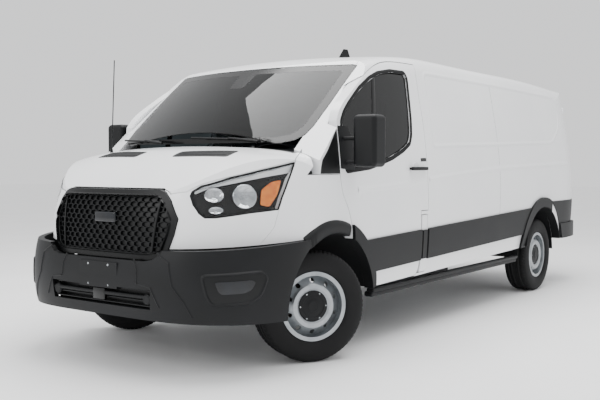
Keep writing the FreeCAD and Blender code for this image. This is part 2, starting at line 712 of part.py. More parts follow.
def arch_liners():
    front = half_pipe(ARCH_F[0], ARCH_F[1], ARCH_F[2] - 4, 4, 520, 965)
    front = front.common(box(500, 1600, 500, 970, 420, 800))
    rear = half_pipe(ARCH_R[0], ARCH_R[1], ARCH_R[2] - 4, 4, 690, 955)
    cap = cylinder_y(ARCH_R[0], ARCH_R[1], ARCH_R[2], 686, 690).common(box(4000, 5600, 600, 1000, 376, 900))
    cap = cap.cut(cylinder_y(AXLE_R, TYRE_RADIUS, 60, 600, 700))
    rear = rear.fuse(cap)
    left = Part.makeCompound(front.Solids + rear.Solids)
    return Part.makeCompound([left, mirrored(left)])


# ---------------------------------------------------------------- structure
def floor_pan():
    """Load floor and cab floor with the wheel housings, sills and firewall."""
    floor = box(1560, 5850, -940, 940, FLOOR_TOP - FLOOR_THICKNESS, FLOOR_TOP)
    for sign in (1, -1):
        y0, y1 = (680, 1000) if sign > 0 else (-1000, -680)
        floor = floor.cut(box(ARCH_R[0] - 486, ARCH_R[0] + 486, y0, y1, 500, 900))
    floor = floor.common(INSIDE)
    sill = box(1560, 4240, 880, 926, 440, FLOOR_TOP - FLOOR_THICKNESS)
    toe = side_prism(closed([(1560, 600), (1560, 640), (1240, 1010), (1240, 1290), (1200, 1290), (1200, 990),
                             (1530, 600)]), -900, 900)
    shape = fuse([floor, sill, mirrored(sill), toe])
    pads = cylinder_y(*ARCH_F[:2], ARCH_F[2] + 8, 500, 1000)
    return solids(shape.cut(pads).cut(mirrored(pads)))


def chassis_frame():
    rail = box(240, 5880, 400, 480, 478, 598)
    cross = [box(s, s + 90, -400, 400, 500, 580) for s in (300, 1450, 2500, 3400, 4250, 5700)]
    shape = fuse([rail, mirrored(rail)] + cross)
    subframe = box(AXLE_F - 230, AXLE_F + 200, -400, 400, 400, 470)
    arms = []
    for sign in (1, -1):
        y0, y1 = sorted((sign * 380, sign * 655))
        arms.append(box(AXLE_F - 60, AXLE_F + 60, y0, y1, 250, 286))
        y2, y3 = sorted((sign * 380, sign * 440))
        arms.append(box(AXLE_F - 60, AXLE_F + 60, y2, y3, 250, 480))
    return solids(fuse([shape, subframe] + arms))


def engine_block():
    return box(380, 1150, -290, 290, 610, 1120).cut(box(300, 700, -300, 300, 1020, 1200))


def rear_axle():
    tube = cylinder_y(AXLE_R, TYRE_RADIUS, 44, -745, 745)
    case = Part.makeSphere(150, P(AXLE_R, 0, TYRE_RADIUS))
    drum = cylinder_y(AXLE_R, TYRE_RADIUS, 150, 770, 800).fuse(cylinder_y(AXLE_R, TYRE_RADIUS, 60, 740, 775))
    return fuse([tube, case, drum, mirrored(drum)])


def drive_shaft():
    return tube_between(P(1300, 0, 440), P(AXLE_R - 160, 0, TYRE_RADIUS + 20), 38)


def leaf_springs():
    lower = [(AXLE_R - 700, 470), (AXLE_R, 404), (AXLE_R + 750, 470)]
    upper = [(AXLE_R + 750, 486), (AXLE_R, 438), (AXLE_R - 700, 486)]
    spring = side_prism([lower, [lower[-1], upper[0]], upper, [upper[-1], lower[0]]], 560, 630)
    spring = spring.cut(cylinder_y(AXLE_R, TYRE_RADIUS, 45, 500, 700))
    return Part.makeCompound([spring, mirrored(spring)])


def fuel_tank():
    tank = box(2050, 3050, 490, 850, 330, 590)
    return tank.makeFillet(40, tank.Edges)


def exhaust():
    pipe = tube_between(P(1500, -330, 395), P(3300, -330, 395), 32)
    silencer = tube_between(P(3300, -330, 395), P(4050, -330, 395), 95)
    return fuse([pipe, silencer])


def tyre_ring(radius, bore, width):
    """A tyre about the Y axis at the origin."""
    half = width / 2.0
    points = [(bore, 88), (bore + 20, 88), (bore + 25, 102), (bore + 52, half - 2), (bore + 88, half), (radius - 26, half - 8),
              (radius - 9, half - 20), (radius, half - 42)]
    wire = Part.makePolygon([Vector(r, y, 0) for r, y in points] + [Vector(r, -y, 0) for r, y in reversed(points)]
                            + [Vector(points[0][0], points[0][1], 0)])
    return Part.Face(wire).revolve(Vector(0, 0, 0), Vector(0, 1, 0), 360)


def rim_ring():
    """A pressed steel wheel about the Y axis, its outer face towards +Y."""
    half = RIM_WIDTH / 2.0
    barrel = Part.makeCylinder(RIM_RADIUS - 19, 2 * half - 8, Vector(0, -half + 4, 0), Vector(0, 1, 0)).cut(
        Part.makeCylinder(RIM_RADIUS - 26, 2 * half, Vector(0, -half, 0), Vector(0, 1, 0)))
    lips = [Part.makeCylinder(RIM_RADIUS, 6, Vector(0, y, 0), Vector(0, 1, 0)).cut(
        Part.makeCylinder(RIM_RADIUS - 26, 6, Vector(0, y, 0), Vector(0, 1, 0))) for y in (-half - 2, half - 4)]
    profile = [(0, 62), (70, 62), (112, 88), (138, 88), (170, 60), (RIM_RADIUS - 25, 40), (RIM_RADIUS - 25, 30),
               (166, 50), (136, 78), (114, 78), (76, 50), (0, 50)]
    wire = Part.makePolygon([Vector(r, y, 0) for r, y in profile] + [Vector(profile[0][0], profile[0][1], 0)])
    disc = Part.Face(wire).revolve(Vector(0, 0, 0), Vector(0, 1, 0), 360)
    for k in range(10):
        a = 2 * math.pi * (k + 0.5) / 10
        disc = disc.cut(Part.makeCylinder(15, 120, Vector(163 * math.cos(a), 0, 163 * math.sin(a)), Vector(0, 1, 0)))
    cap = Part.makeCylinder(62, 22, Vector(0, 61, 0), Vector(0, 1, 0))
    return fuse([barrel, disc, cap] + lips)


def wheel_pieces():
    """Tyre and rim of each wheel, steered in front."""
    out = {}
    tyre = tyre_ring(TYRE_RADIUS, RIM_RADIUS - 18, TYRE_WIDTH)
    rim = rim_ring()
    for side, sign in (("left", 1), ("right", -1)):
        for name, piece in (("tyre", tyre), ("rim", rim)):
            rear = piece.copy() if sign > 0 else piece.mirror(Vector(0, 0, 0), Vector(0, 1, 0))
            front = rear.copy()
            rear.translate(P(AXLE_R, sign * TRACK_REAR / 2, TYRE_RADIUS))
            out[name + "_rear_" + side] = rear
            front.translate(P(AXLE_F, sign * TRACK_FRONT / 2, TYRE_RADIUS))
            front.rotate(P(AXLE_F, sign * KINGPIN_Y, 0), Vector(0, 0, 1), -STEER_ANGLE)
            out[name + "_front_" + side] = front
    return out


def knuckle(sign):
    """Steering knuckle with its strut, turning with the wheel but not spinning."""
    y = TRACK_FRONT / 2
    hub = cylinder_y(AXLE_F, TYRE_RADIUS, 60, y + 12, y + 48)
    post = cylinder_y(AXLE_F, TYRE_RADIUS, 45, 735, y + 14)
    disc = cylinder_y(AXLE_F, TYRE_RADIUS, 140, 820, 845)
    upright = box(AXLE_F - 40, AXLE_F + 40, 695, 738, 292, 560)
    strut = Part.makeCylinder(34, 270, P(AXLE_F, 700, 500), Vector(0, 0, 1))
    shape = fuse([hub, post, disc, upright, strut])
    if sign < 0:
        shape = mirrored(shape)
    shape.rotate(P(AXLE_F, sign * KINGPIN_Y, 0), Vector(0, 0, 1), -STEER_ANGLE)
    return shape


def spare_wheel():
    tyre = tyre_ring(TYRE_RADIUS, 60, 215)
    tyre.rotate(Vector(0, 0, 0), Vector(1, 0, 0), 90)
    tyre.translate(P(AXLE_R + 600, 0, 385))
    return tyre


# ---------------------------------------------------------------- cab
def dashboard():
    runs = closed([(1010, 1290), (1060, 1352), (1260, 1345), (1390, 1300), (1420, 1200), (1400, 1060), (1330, 1020),
                   (1290, 1290)])
    return side_prism(runs, -880, 880)


def steering_wheel():
    centre = P(1560, 420, 1215)
    axis = Vector(-math.cos(math.radians(38)), 0, math.sin(math.radians(38)))
    rim = Part.makeTorus(186, 15, centre, axis)
    hub = Part.makeCylinder(60, 40, centre.sub(axis * 30), axis)
    spokes = []
    for a in (90, 210, 330):
        direction = Vector(0, 1, 0).cross(axis) * math.cos(math.radians(a)) + Vector(0, 1, 0) * math.sin(
            math.radians(a))
        spokes.append(tube_between(centre, centre.add(direction * 180), 11))
    column = tube_between(centre, centre.sub(axis * 210), 32)
    return solids(fuse([rim, hub, column] + spokes).cut(dashboard()))


def front_seats():
    made = []
    for sign in (1, -1):
        y0 = sign * 440
        base = box(1960, 2330, y0 - 200, y0 + 200, FLOOR_TOP, 860)
        cushion = box(1850, 2360, y0 - 250, y0 + 250, 860, 980)
        cushion = cushion.makeFillet(40, cushion.Edges)
        back = side_prism(closed([(2270, 960), (2400, 960), (2500, 1560), (2400, 1580)]), y0 - 240, y0 + 240)
        back = back.makeFillet(35, back.Edges)
        head = box(2400, 2500, y0 - 130, y0 + 130, 1590, 1780)
        head = head.makeFillet(35, head.Edges)
        posts = [tube_between(P(2450, y0 + d, 1540), P(2450, y0 + d, 1620), 8) for d in (-60, 60)]
        made.append(fuse([base, cushion, back, head] + posts))
    return Part.makeCompound([s for m in made for s in m.Solids])


def roof_antennas():
    fin = Part.makeLoft([
        Part.makePolygon([P(2180, 300, 2085), P(2320, 270, 2085), P(2320, 330, 2085), P(2180, 300, 2085)]),
        Part.makePolygon([P(2255, 300, 2168), P(2300, 288, 2168), P(2300, 312, 2168), P(2255, 300, 2168)])], True)
    fin = fin.cut(BODY)
    mast = tube_between(P(915, -905, 1290), P(950, -905, 2036), 4)
    foot = Part.makeCone(20, 9, 80, P(915, -905, 1290), Vector(0, 0, 1))
    mast = fuse([mast, foot]).cut(CLIP).cut(mirrored(pillar()))
    return Part.makeCompound(solids(fin).Solids + [max(mast.Solids, key=lambda s: s.Volume)])


def wipers():
    made = []
    for y in (560, -250):
        arm = tube_between(P(screen_s(y, 1395) - 30, y, 1400), P(screen_s(y - 240, 1420) - 26, y - 240, 1425), 8)
        blade = tube_between(P(screen_s(y - 60, 1412) - 22, y - 60, 1412),
                             P(screen_s(y - 560, 1430) - 26, y - 560, 1432), 7)
        made.append(fuse([arm, blade]))
    return Part.makeCompound([s for m in made for s in m.Solids])


# ---------------------------------------------------------------- writing
def pair(name, shape):
    nodes[name + "_left"] = shape
    nodes[name + "_right"] = mirrored(shape)


def build():
    nodes["body_side_left"] = body_side_left()
    nodes["body_side_right"] = body_side_right()
    nodes["sliding_door_right"] = sliding_door_right()
    nodes["fuel_flap"] = fuel_flap()
    nodes["roof_panel"] = roof_panel()
    pair("front_wing", front_wing())
    nodes["nose_panel"] = nose_panel()
    nodes["bonnet"] = bonnet()
    nodes["headlamps"] = headlamps()
    nodes["grille"] = grille()
    nodes["front_bumper"] = front_bumper()
    nodes["cowl_panel"] = cowl_panel()
    nodes["windscreen"] = windscreen()
    pair("front_door", front_door())
    pair("door_glass", door_glass())
    pair("door_moulding", door_moulding())
    pair("mirror", mirror())
    pair("rear_door", rear_door())
    pair("rear_glass", rear_glass())
    nodes["side_mouldings"] = side_mouldings()
    nodes["tail_lamps"] = tail_lamps()
    nodes["rear_bumper"] = rear_bumper()
    nodes["arch_liners"] = arch_liners()
    nodes["floor_pan"] = floor_pan()
    nodes["chassis_frame"] = chassis_frame()
    nodes["engine_block"] = engine_block()
    nodes["rear_axle"] = rear_axle()
    nodes["drive_shaft"] = drive_shaft()
    nodes["leaf_springs"] = leaf_springs()
    nodes["fuel_tank"] = fuel_tank()
    nodes["exhaust"] = exhaust()
    nodes["spare_wheel"] = spare_wheel()
    nodes["dashboard"] = dashboard()
    nodes["steering_wheel"] = steering_wheel()
    nodes["front_seats"] = front_seats()
    nodes["roof_antennas"] = roof_antennas()
    nodes["wipers"] = wipers()
    nodes["knuckle_left"] = knuckle(1)
    nodes["knuckle_right"] = knuckle(-1)
    nodes.update(wheel_pieces())


build()
os.makedirs("parts", exist_ok=True)
for name, shape in nodes.items():
    shape.exportStep(os.path.join("parts", name + ".step"))
    b = shape.BoundBox
    print("%-20s solids %d  %8.1f dm3  valid %s  x %6.0f %6.0f  y %6.0f %6.0f  z %6.0f %6.0f" % (
        name, len(shape.Solids), shape.Volume / 1e6, shape.isValid(), b.XMin, b.XMax, b.YMin, b.YMax, b.ZMin, b.ZMax))
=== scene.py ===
# %% [markdown]
# # A long panel van, dressed for its portrait
# The van's panels, bumpers, glass and wheels come as a finished frame in real size. These cells
# give each of them a material and add what the frame leaves out: lamps, grille mesh, tyre tread,
# seals, handles and seats. Everything is in metres, +X towards the nose and +Z up, so a new piece
# goes where the frame says and needs no fitting.

# %% Load the frame
import json
import math
import bmesh
import bpy
import numpy as np
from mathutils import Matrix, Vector


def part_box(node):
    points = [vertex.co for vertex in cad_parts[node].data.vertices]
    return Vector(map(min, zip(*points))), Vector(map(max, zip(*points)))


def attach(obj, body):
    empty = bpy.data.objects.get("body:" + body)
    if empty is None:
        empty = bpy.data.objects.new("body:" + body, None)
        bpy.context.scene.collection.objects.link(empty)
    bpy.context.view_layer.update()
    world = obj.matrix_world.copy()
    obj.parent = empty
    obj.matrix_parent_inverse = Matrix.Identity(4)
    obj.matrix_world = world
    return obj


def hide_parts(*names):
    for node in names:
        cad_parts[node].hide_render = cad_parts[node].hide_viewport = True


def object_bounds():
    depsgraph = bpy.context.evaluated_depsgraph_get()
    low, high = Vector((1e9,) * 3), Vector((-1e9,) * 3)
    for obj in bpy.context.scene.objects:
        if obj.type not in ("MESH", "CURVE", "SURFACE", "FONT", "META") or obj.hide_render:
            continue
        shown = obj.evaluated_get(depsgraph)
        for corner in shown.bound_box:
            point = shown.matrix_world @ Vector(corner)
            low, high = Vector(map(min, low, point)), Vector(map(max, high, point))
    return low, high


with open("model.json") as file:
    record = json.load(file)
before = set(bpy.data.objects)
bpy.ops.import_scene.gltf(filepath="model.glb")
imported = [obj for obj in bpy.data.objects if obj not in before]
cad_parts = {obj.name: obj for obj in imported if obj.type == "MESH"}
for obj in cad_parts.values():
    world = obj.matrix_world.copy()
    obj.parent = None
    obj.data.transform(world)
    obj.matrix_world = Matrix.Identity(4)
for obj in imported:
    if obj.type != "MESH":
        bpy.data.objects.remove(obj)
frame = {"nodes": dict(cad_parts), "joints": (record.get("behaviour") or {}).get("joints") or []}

CAD_BOX = [list(corner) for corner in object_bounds()]
NOSE = CAD_BOX[0][0] + 5.981        # the tail plus the overall length
print("frame box", CAD_BOX)

# %% [markdown]
# ## Places in millimetres
# A body engineer gives a place on a van as its distance behind the nose, its distance from the
# centre line and its height. Using the same three numbers here keeps every shape readable, and one
# function turns them into metres.


# %% Places
def at(s, y, z):
    """Points in metres from millimetres: x is the nose less s, and y and z are scaled; all broadcast."""
    s, y, z = np.broadcast_arrays(np.asarray(s, float), np.asarray(y, float), np.asarray(z, float))
    return np.stack([NOSE - s / 1000, y / 1000, z / 1000], -1)


def side_view(path):
    """Places of a path drawn from the side as (s, z) pairs, on the centre plane."""
    return at(path[..., 0], 0, path[..., 1])


def front_view(path):
    """Places of a path drawn from the front as (y, z) pairs, at the nose."""
    return at(0, path[..., 0], path[..., 1])


def plan_view(path):
    """Places of a path drawn from above as (s, y) pairs, on the ground."""
    return at(path[..., 0], path[..., 1], 0)


def in_space(path):
    """Places of a path of (s, y, z) triples."""
    return at(path[..., 0], path[..., 1], path[..., 2])


def loop(corners, count, soften=0):
    """A closed path: corners joined by straight runs, sampled evenly, then averaged with neighbours."""
    p = np.asarray(corners, float)
    q = np.vstack([p, p[:1]])
    along = np.r_[0, np.cumsum(np.linalg.norm(np.diff(q, axis=0), axis=1))]
    t = np.linspace(0, along[-1], count, endpoint=False)
    path = np.stack([np.interp(t, along, q[:, k]) for k in range(q.shape[1])], 1)
    for _ in range(soften):
        path = (np.roll(path, 1, 0) + 2 * path + np.roll(path, -1, 0)) / 4
    return path


def run(corners, count):
    """An open path through the corners, sampled evenly by length."""
    p = np.asarray(corners, float)
    along = np.r_[0, np.cumsum(np.linalg.norm(np.diff(p, axis=0), axis=1))]
    t = np.linspace(0, along[-1], count)
    return np.stack([np.interp(t, along, p[:, k]) for k in range(p.shape[1])], 1)


print("a sample path of", len(loop([(0, 0), (1, 0), (1, 1)], 60)), "points")

# %% [markdown]
# ## Surfaces from grids
# Every new piece here is a grid of points: one direction along it and one across it. A shape is a
# pair of arrays, its points and its four-sided faces. Pieces could also be pushed and pulled by
# hand, but a grid worked out from a formula can be changed by one number, and numpy works out all
# of its points at once.


# %% Grid to shape
def surface(grid, wrap_rows=False, wrap_columns=False):
    """Points and faces of a grid: each face joins a point, its right neighbour and the two in the next row."""
    rows, columns = grid.shape[:2]
    r = np.arange(rows if wrap_rows else rows - 1)[:, None]
    c = np.arange(columns if wrap_columns else columns - 1)[None, :]
    r2, c2 = (r + 1) % rows, (c + 1) % columns
    corners = np.broadcast_arrays(r * columns + c, r * columns + c2, r2 * columns + c2, r2 * columns + c)
    return grid.reshape(-1, 3), np.stack(corners, -1).reshape(-1, 4)


def joined(*shapes):
    """Several shapes as one: each one's faces are counted on from the points before it."""
    start = np.cumsum([0] + [len(points) for points, faces in shapes[:-1]])
    return (np.concatenate([points for points, faces in shapes]),
            np.concatenate([faces + n for (points, faces), n in zip(shapes, start)]))


def other_side(shape):
    """The mirror image across the centre line: y changes sign and each face runs the other way."""
    points, faces = shape
    return points * [1, -1, 1], faces[:, ::-1]


def both(shape):
    """A shape and its mirror image as one."""
    return joined(shape, other_side(shape))


def slab(grid, depth, wrap=False, hole=False):
    """A closed plate: the grid, its copy moved by depth (metres), and walls that join their rims."""
    back = grid + np.asarray(depth)
    shapes = [surface(grid, wrap_columns=wrap), surface(back, wrap_columns=wrap)]
    if wrap:
        shapes.append(surface(np.stack([grid[-1], back[-1]]), wrap_columns=True))
        if hole:
            shapes.append(surface(np.stack([grid[0], back[0]]), wrap_columns=True))
    else:
        edge = [np.concatenate([g[0, :-1], g[:-1, -1], g[-1, :0:-1], g[:0:-1, 0]]) for g in (grid, back)]
        shapes.append(surface(np.stack(edge), wrap_columns=True))
    return joined(*shapes)


def fan(path, rings, centre=None):
    """A disc-like grid in the plane: ring k is the path drawn in towards the centre, k rings out of all."""
    middle = path.mean(0) if centre is None else np.asarray(centre, float)
    return middle + np.linspace(0, 1, rings)[:, None, None] * (path - middle)


def tube(path, radius):
    """A pipe with closed ends: at each point of the path a circle of twelve points stands square to the run."""
    ahead = np.gradient(path, axis=0)
    ahead /= np.linalg.norm(ahead, axis=1, keepdims=True)
    up = np.where(np.abs(ahead[:, 2:]) < 0.9, [[0, 0, 1.0]], [[1.0, 0, 0]])
    side = np.cross(ahead, up)
    side /= np.linalg.norm(side, axis=1, keepdims=True)
    top = np.cross(side, ahead)
    a = np.linspace(0, 2 * np.pi, 12, endpoint=False)[None, :, None]
    grid = path[:, None] + radius * (np.cos(a) * side[:, None] + np.sin(a) * top[:, None])
    ends = [np.stack([np.broadcast_to(path[k], grid[k].shape), grid[k]]) for k in (0, -1)]
    return joined(surface(grid, False, True), *[surface(end, False, True) for end in ends])


def block(low, high, round_off=6.0, steps=7):
    """A rounded box: a cube's six faces blown up to a ball of that radius and moved out to the corners (mm)."""
    low, high = np.minimum(low, high), np.maximum(low, high)
    r = min(round_off, (high - low).min() / 2.001)
    t = np.tan(np.linspace(-np.pi / 4, np.pi / 4, steps + 1))
    u, v = np.meshgrid(t, t, indexing="ij")
    shapes = []
    for axis in range(3):
        for sign in (-1, 1):
            p = np.stack(np.roll([sign * np.ones_like(u), u, v], axis, 0), -1)
            p = p / np.linalg.norm(p, axis=-1, keepdims=True)
            q = p * r + np.sign(np.round(p, 6)) * ((high - low) / 2 - r) + (high + low) / 2
            shapes.append(surface(in_space(q)))
    return joined(*shapes)


def turned(profile, centre, axis, count=96):
    """A lathe-turned shape: profile points (radius, distance along the axis) in mm, swept round the axis."""
    axis = np.asarray(axis, float) / np.linalg.norm(axis)
    side = np.cross(axis, [0, 0, 1.0] if abs(axis[2]) < 0.9 else [1.0, 0, 0])
    side /= np.linalg.norm(side)
    top = np.cross(side, axis)
    p = np.asarray(profile, float)[:, None, :] / 1000
    a = np.linspace(0, 2 * np.pi, count, endpoint=False)[None, :, None]
    grid = centre + p[..., :1] * (np.cos(a) * side + np.sin(a) * top) + p[..., 1:] * axis
    return surface(grid, False, True)


# %% [markdown]
# ## Pressing a shape onto the van
# A decal, seal or bezel has to follow a curved panel exactly. Blender's Shrinkwrap modifier can do
# this; working it out directly gives the same result and leaves a plain mesh. Each point slides
# along one direction until it meets the outermost triangle of the named panels, found with
# barycentric weights for a batch of points at a time.


# %% Press onto panels
def panel_triangles(*nodes):
    """All triangles of the named panels as one array."""
    found = []
    for name in nodes:
        mesh = frame["nodes"][name].data
        mesh.calc_loop_triangles()
        points = np.empty(len(mesh.vertices) * 3)
        mesh.vertices.foreach_get("co", points)
        corners = np.empty(len(mesh.loop_triangles) * 3, int)
        mesh.loop_triangles.foreach_get("vertices", corners)
        found.append(points.reshape(-1, 3)[corners.reshape(-1, 3)])
    return np.concatenate(found)


def press(points, nodes, toward, lift=0.0):
    """Slides points along a direction onto panels, then lift mm out: height = a + w1 (b - a) + w2 (c - a)."""
    out = np.asarray(toward, float) / np.linalg.norm(toward)
    u = np.cross(out, [0, 0, 1.0] if abs(out[2]) < 0.9 else [1.0, 0, 0])
    u /= np.linalg.norm(u)
    basis = np.stack([u, np.cross(out, u), out], 1)
    p = points.reshape(-1, 3) @ basis
    tri = panel_triangles(*nodes) @ basis
    near = (tri[..., :2].max(1) >= p[:, :2].min(0)).all(1) & (tri[..., :2].min(1) <= p[:, :2].max(0)).all(1)
    a, b, c = np.swapaxes(tri[near], 0, 1)
    ab, ac = b - a, c - a
    area = ab[:, 0] * ac[:, 1] - ab[:, 1] * ac[:, 0]
    good = np.abs(area) > 1e-12
    a, ab, ac, area = a[good], ab[good], ac[good], area[good]
    height = np.full(len(p), -np.inf)
    for start in range(0, len(p), 200):
        q = p[start:start + 200, None, :2] - a[None, :, :2]
        w1 = (q[..., 0] * ac[:, 1] - q[..., 1] * ac[:, 0]) / area
        w2 = (ab[:, 0] * q[..., 1] - ab[:, 1] * q[..., 0]) / area
        inside = (w1 >= -1e-5) & (w2 >= -1e-5) & (w1 + w2 <= 1 + 1e-5)
        height[start:start + 200] = np.where(inside, a[:, 2] + w1 * ab[:, 2] + w2 * ac[:, 2], -np.inf).max(1)
    hit = np.flatnonzero(np.isfinite(height))
    miss = np.flatnonzero(~np.isfinite(height))
    if len(miss):
        gaps = ((p[miss][:, None, :2] - p[hit][None, :, :2]) ** 2).sum(-1)
        height[miss] = height[hit[gaps.argmin(1)]]
    p[:, 2] = height + lift / 1000
    print(f"  pressed {len(p)} points on {nodes[0]}, {len(miss)} past its edge")
    return (p @ basis.T).reshape(points.shape)


def strip(path, width, height, nodes, toward, closed=True, flat=False):
    """A low bead along a path on a panel: across it the lift is height x cos squared, or flat-topped."""
    out = np.asarray(toward, float) / np.linalg.norm(toward)
    ahead = (np.roll(path, -1, 0) - np.roll(path, 1, 0)) if closed else np.gradient(path, axis=0)
    across = np.cross(ahead, out)
    across /= np.linalg.norm(across, axis=1, keepdims=True)
    t = np.linspace(-1, 1, 7)[:, None]
    grid = press(path[None] + across[None] * t[..., None] * width / 2000, nodes, toward)
    rise = (1 - t ** 6 if flat else np.cos(t * np.pi / 2) ** 2) * height
    grid = grid + out * (rise[..., None] - 0.3) / 1000
    return slab(grid, -out * 0.0015, wrap=closed, hole=closed)


LEFT_SIDE, RIGHT_SIDE, AHEAD, ABOVE, BEHIND = (0, 1, 0), (0, -1, 0), (1, 0, 0), (0, 0, 1), (-1, 0, 0)
SIDES = (("left", 1, LEFT_SIDE), ("right", -1, RIGHT_SIDE))

# %% [markdown]
# ## Materials
# The van is white acrylic paint under clear lacquer, grained polypropylene, glass, rubber and
# coated steel. Each material is a small set of nodes: a slow noise shifts the colour the way dust
# and batches do, a fine pattern drives bump and roughness. Patterns read Object coordinates, which
# are metres here, so their sizes are real.


# %% Material helpers
def linear(code, alpha=1.0):
    """Linear colour of an sRGB hex code: below 0.04045 c / 12.92, above ((c + 0.055) / 1.055) to the 2.4."""
    c = np.array([int(code[k:k + 2], 16) for k in (1, 3, 5)]) / 255
    c = np.where(c <= 0.04045, c / 12.92, ((c + 0.055) / 1.055) ** 2.4)
    return (*[float(k) for k in c], alpha)


def add(tree, kind, inputs=None, **settings):
    """One shader node: settings go on the node; an input that is a socket is linked, any other is set."""
    node = tree.nodes.new("ShaderNode" + kind)
    for key, value in settings.items():
        setattr(node, key, value)
    for key, value in (inputs or {}).items():
        if isinstance(value, bpy.types.NodeSocket):
            tree.links.new(value, node.inputs[key])
        else:
            node.inputs[key].default_value = value
    return node


def pattern(tree, where, kind, size):
    """Height 0..1 of a surface pattern whose features measure size mm."""
    scale = 1000 / size
    if kind == "cells":
        return add(tree, "TexVoronoi", {"Vector": where, "Scale": scale}).outputs["Distance"]
    if kind == "weave":
        waves = [add(tree, "TexWave", {"Vector": where, "Scale": scale / 6.3, "Distortion": 0.4},
                     bands_direction=d) for d in ("X", "Z")]
        return add(tree, "Math", {0: waves[0].outputs["Fac"], 1: waves[1].outputs["Fac"]},
                   operation="MAXIMUM").outputs[0]
    if kind == "brushed":
        turn = add(tree, "Mapping", {"Vector": where, "Scale": (0.08, 1, 1)})
        return add(tree, "TexNoise", {"Vector": turn.outputs[0], "Scale": scale, "Detail": 3.0}).outputs["Fac"]
    return add(tree, "TexNoise", {"Vector": where, "Scale": scale, "Detail": 4.0}).outputs["Fac"]


def material(name, dark, light, patch, rough, kind="noise", grain=1.0, depth=0.05, **constants):
    """A finish: colour between dark and light by a noise of patch mm, a roughness range, a grain in mm."""
    made = bpy.data.materials.new(name)
    made.use_nodes = True
    tree = made.node_tree
    shader = next(n for n in tree.nodes if n.type == "BSDF_PRINCIPLED")
    where = add(tree, "TexCoord").outputs["Object"]
    slow = add(tree, "TexNoise", {"Vector": where, "Scale": 1000 / patch, "Detail": 5.0}).outputs["Fac"]
    ramp = add(tree, "ValToRGB", {"Fac": slow})
    ramp.color_ramp.elements[0].position, ramp.color_ramp.elements[1].position = 0.35, 0.65
    ramp.color_ramp.elements[0].color, ramp.color_ramp.elements[1].color = linear(dark), linear(light)
    fine = pattern(tree, where, kind, grain)
    shine = add(tree, "MapRange", {"Value": slow, "To Min": rough[0], "To Max": rough[1]})
    bump = add(tree, "Bump", {"Height": fine, "Strength": 0.6, "Distance": depth / 1000})
    tree.links.new(ramp.outputs["Color"], shader.inputs["Base Color"])
    tree.links.new(shine.outputs[0], shader.inputs["Roughness"])
    tree.links.new(bump.outputs[0], shader.inputs["Normal"])
    for key, value in constants.items():
        shader.inputs[key.replace("_", " ")].default_value = value
    return made


# %% The van's finishes
# White acrylic base coat under clear lacquer, sprayed on primed steel: faint orange peel, a hard gloss on top.
PAINT = material("white_lacquered_steel", "#EDEEF0", "#F3F4F5", 900, (0.28, 0.36), grain=1.6, depth=0.008,
                 Coat_Weight=0.7, Coat_Roughness=0.05)
# Unpainted polypropylene, moulded in a tool with a leather grain: dark grey and half matt.
TRIM = material("grained_polypropylene", "#0F1011", "#141517", 260, (0.44, 0.56), "cells", 1.6, 0.12,
                Specular_IOR_Level=0.22)
# Gloss black ABS for bezels, pillars and the grille frame.
GLOSS = material("gloss_black_abs", "#050506", "#08090A", 300, (0.14, 0.24), grain=4.0, depth=0.004,
                 Specular_IOR_Level=0.4)
# Half-matt black ABS, as moulded, for the grille frame and lamp pockets.
SATIN = material("satin_black_abs", "#0A0B0C", "#0F1011", 240, (0.30, 0.42), grain=2.0, depth=0.02,
                 Specular_IOR_Level=0.25)
# Float glass, faintly grey: a little dust changes its gloss.
GLASS = material("grey_float_glass", "#2C3133", "#343A3C", 400, (0.0, 0.02), grain=60.0, depth=0.01,
                 Transmission_Weight=1.0, IOR=1.33)
# Hard-coated polycarbonate lens, clear.
LENS = material("clear_polycarbonate", "#F4F6F7", "#FCFCFC", 120, (0.0, 0.02), grain=30.0, depth=0.01,
                Transmission_Weight=1.0, IOR=1.08, Coat_Weight=0.25)
# Aluminium vapour on moulded plastic: the mirror finish inside a lamp.
CHROME = material("aluminised_reflector", "#A6A9AC", "#BDC0C3", 40, (0.06, 0.14), grain=6.0, depth=0.05,
                  Metallic=1.0)
# Amber acrylic marker lens with fine optics.
AMBER = material("amber_acrylic", "#D9650A", "#F08A1A", 30, (0.10, 0.20), "cells", 3.0, 0.2, Coat_Weight=0.6)
# Red acrylic lamp lens with moulded flutes.
RED = material("red_acrylic", "#7A0A10", "#9C1218", 60, (0.08, 0.16), "cells", 4.0, 0.25, Coat_Weight=0.8)
# Tyre rubber: near black, dusty on the shoulders.
RUBBER = material("carbon_black_rubber", "#0E0E0F", "#141415", 70, (0.62, 0.80), "noise", 1.2, 0.10,
                  Specular_IOR_Level=0.25)
# Wheel steel in silver stove enamel.
SILVER = material("silver_enamelled_steel", "#8F9396", "#A4A8AB", 90, (0.30, 0.44), grain=2.0, depth=0.02,
                  Metallic=0.85, Coat_Weight=0.3)
# Chassis steel dipped in black wax.
CHASSIS = material("waxed_black_steel", "#1B1C1E", "#2C2D2F", 120, (0.45, 0.75), grain=3.0, depth=0.15)
# Grey cast iron, sand-cast and lightly browned.
CAST = material("sand_cast_iron", "#4A443F", "#67625D", 45, (0.60, 0.85), grain=2.5, depth=0.35, Metallic=0.5)
# Zinc-plated steel for bolts, straps and pipes.
ZINC = material("zinc_plated_steel", "#8D9194", "#B2B6B8", 35, (0.28, 0.48), "brushed", 1.0, 0.03, Metallic=1.0)
# Dark cab plastic with a fine grain.
CABIN = material("grained_cab_plastic", "#3A3C3F", "#46484B", 180, (0.55, 0.70), "cells", 1.2, 0.10)
# Woven polyester seat cloth, grey.
CLOTH = material("woven_seat_cloth", "#33363A", "#4C5056", 9, (0.80, 0.95), "weave", 1.6, 0.35,
                 Sheen_Weight=0.4)
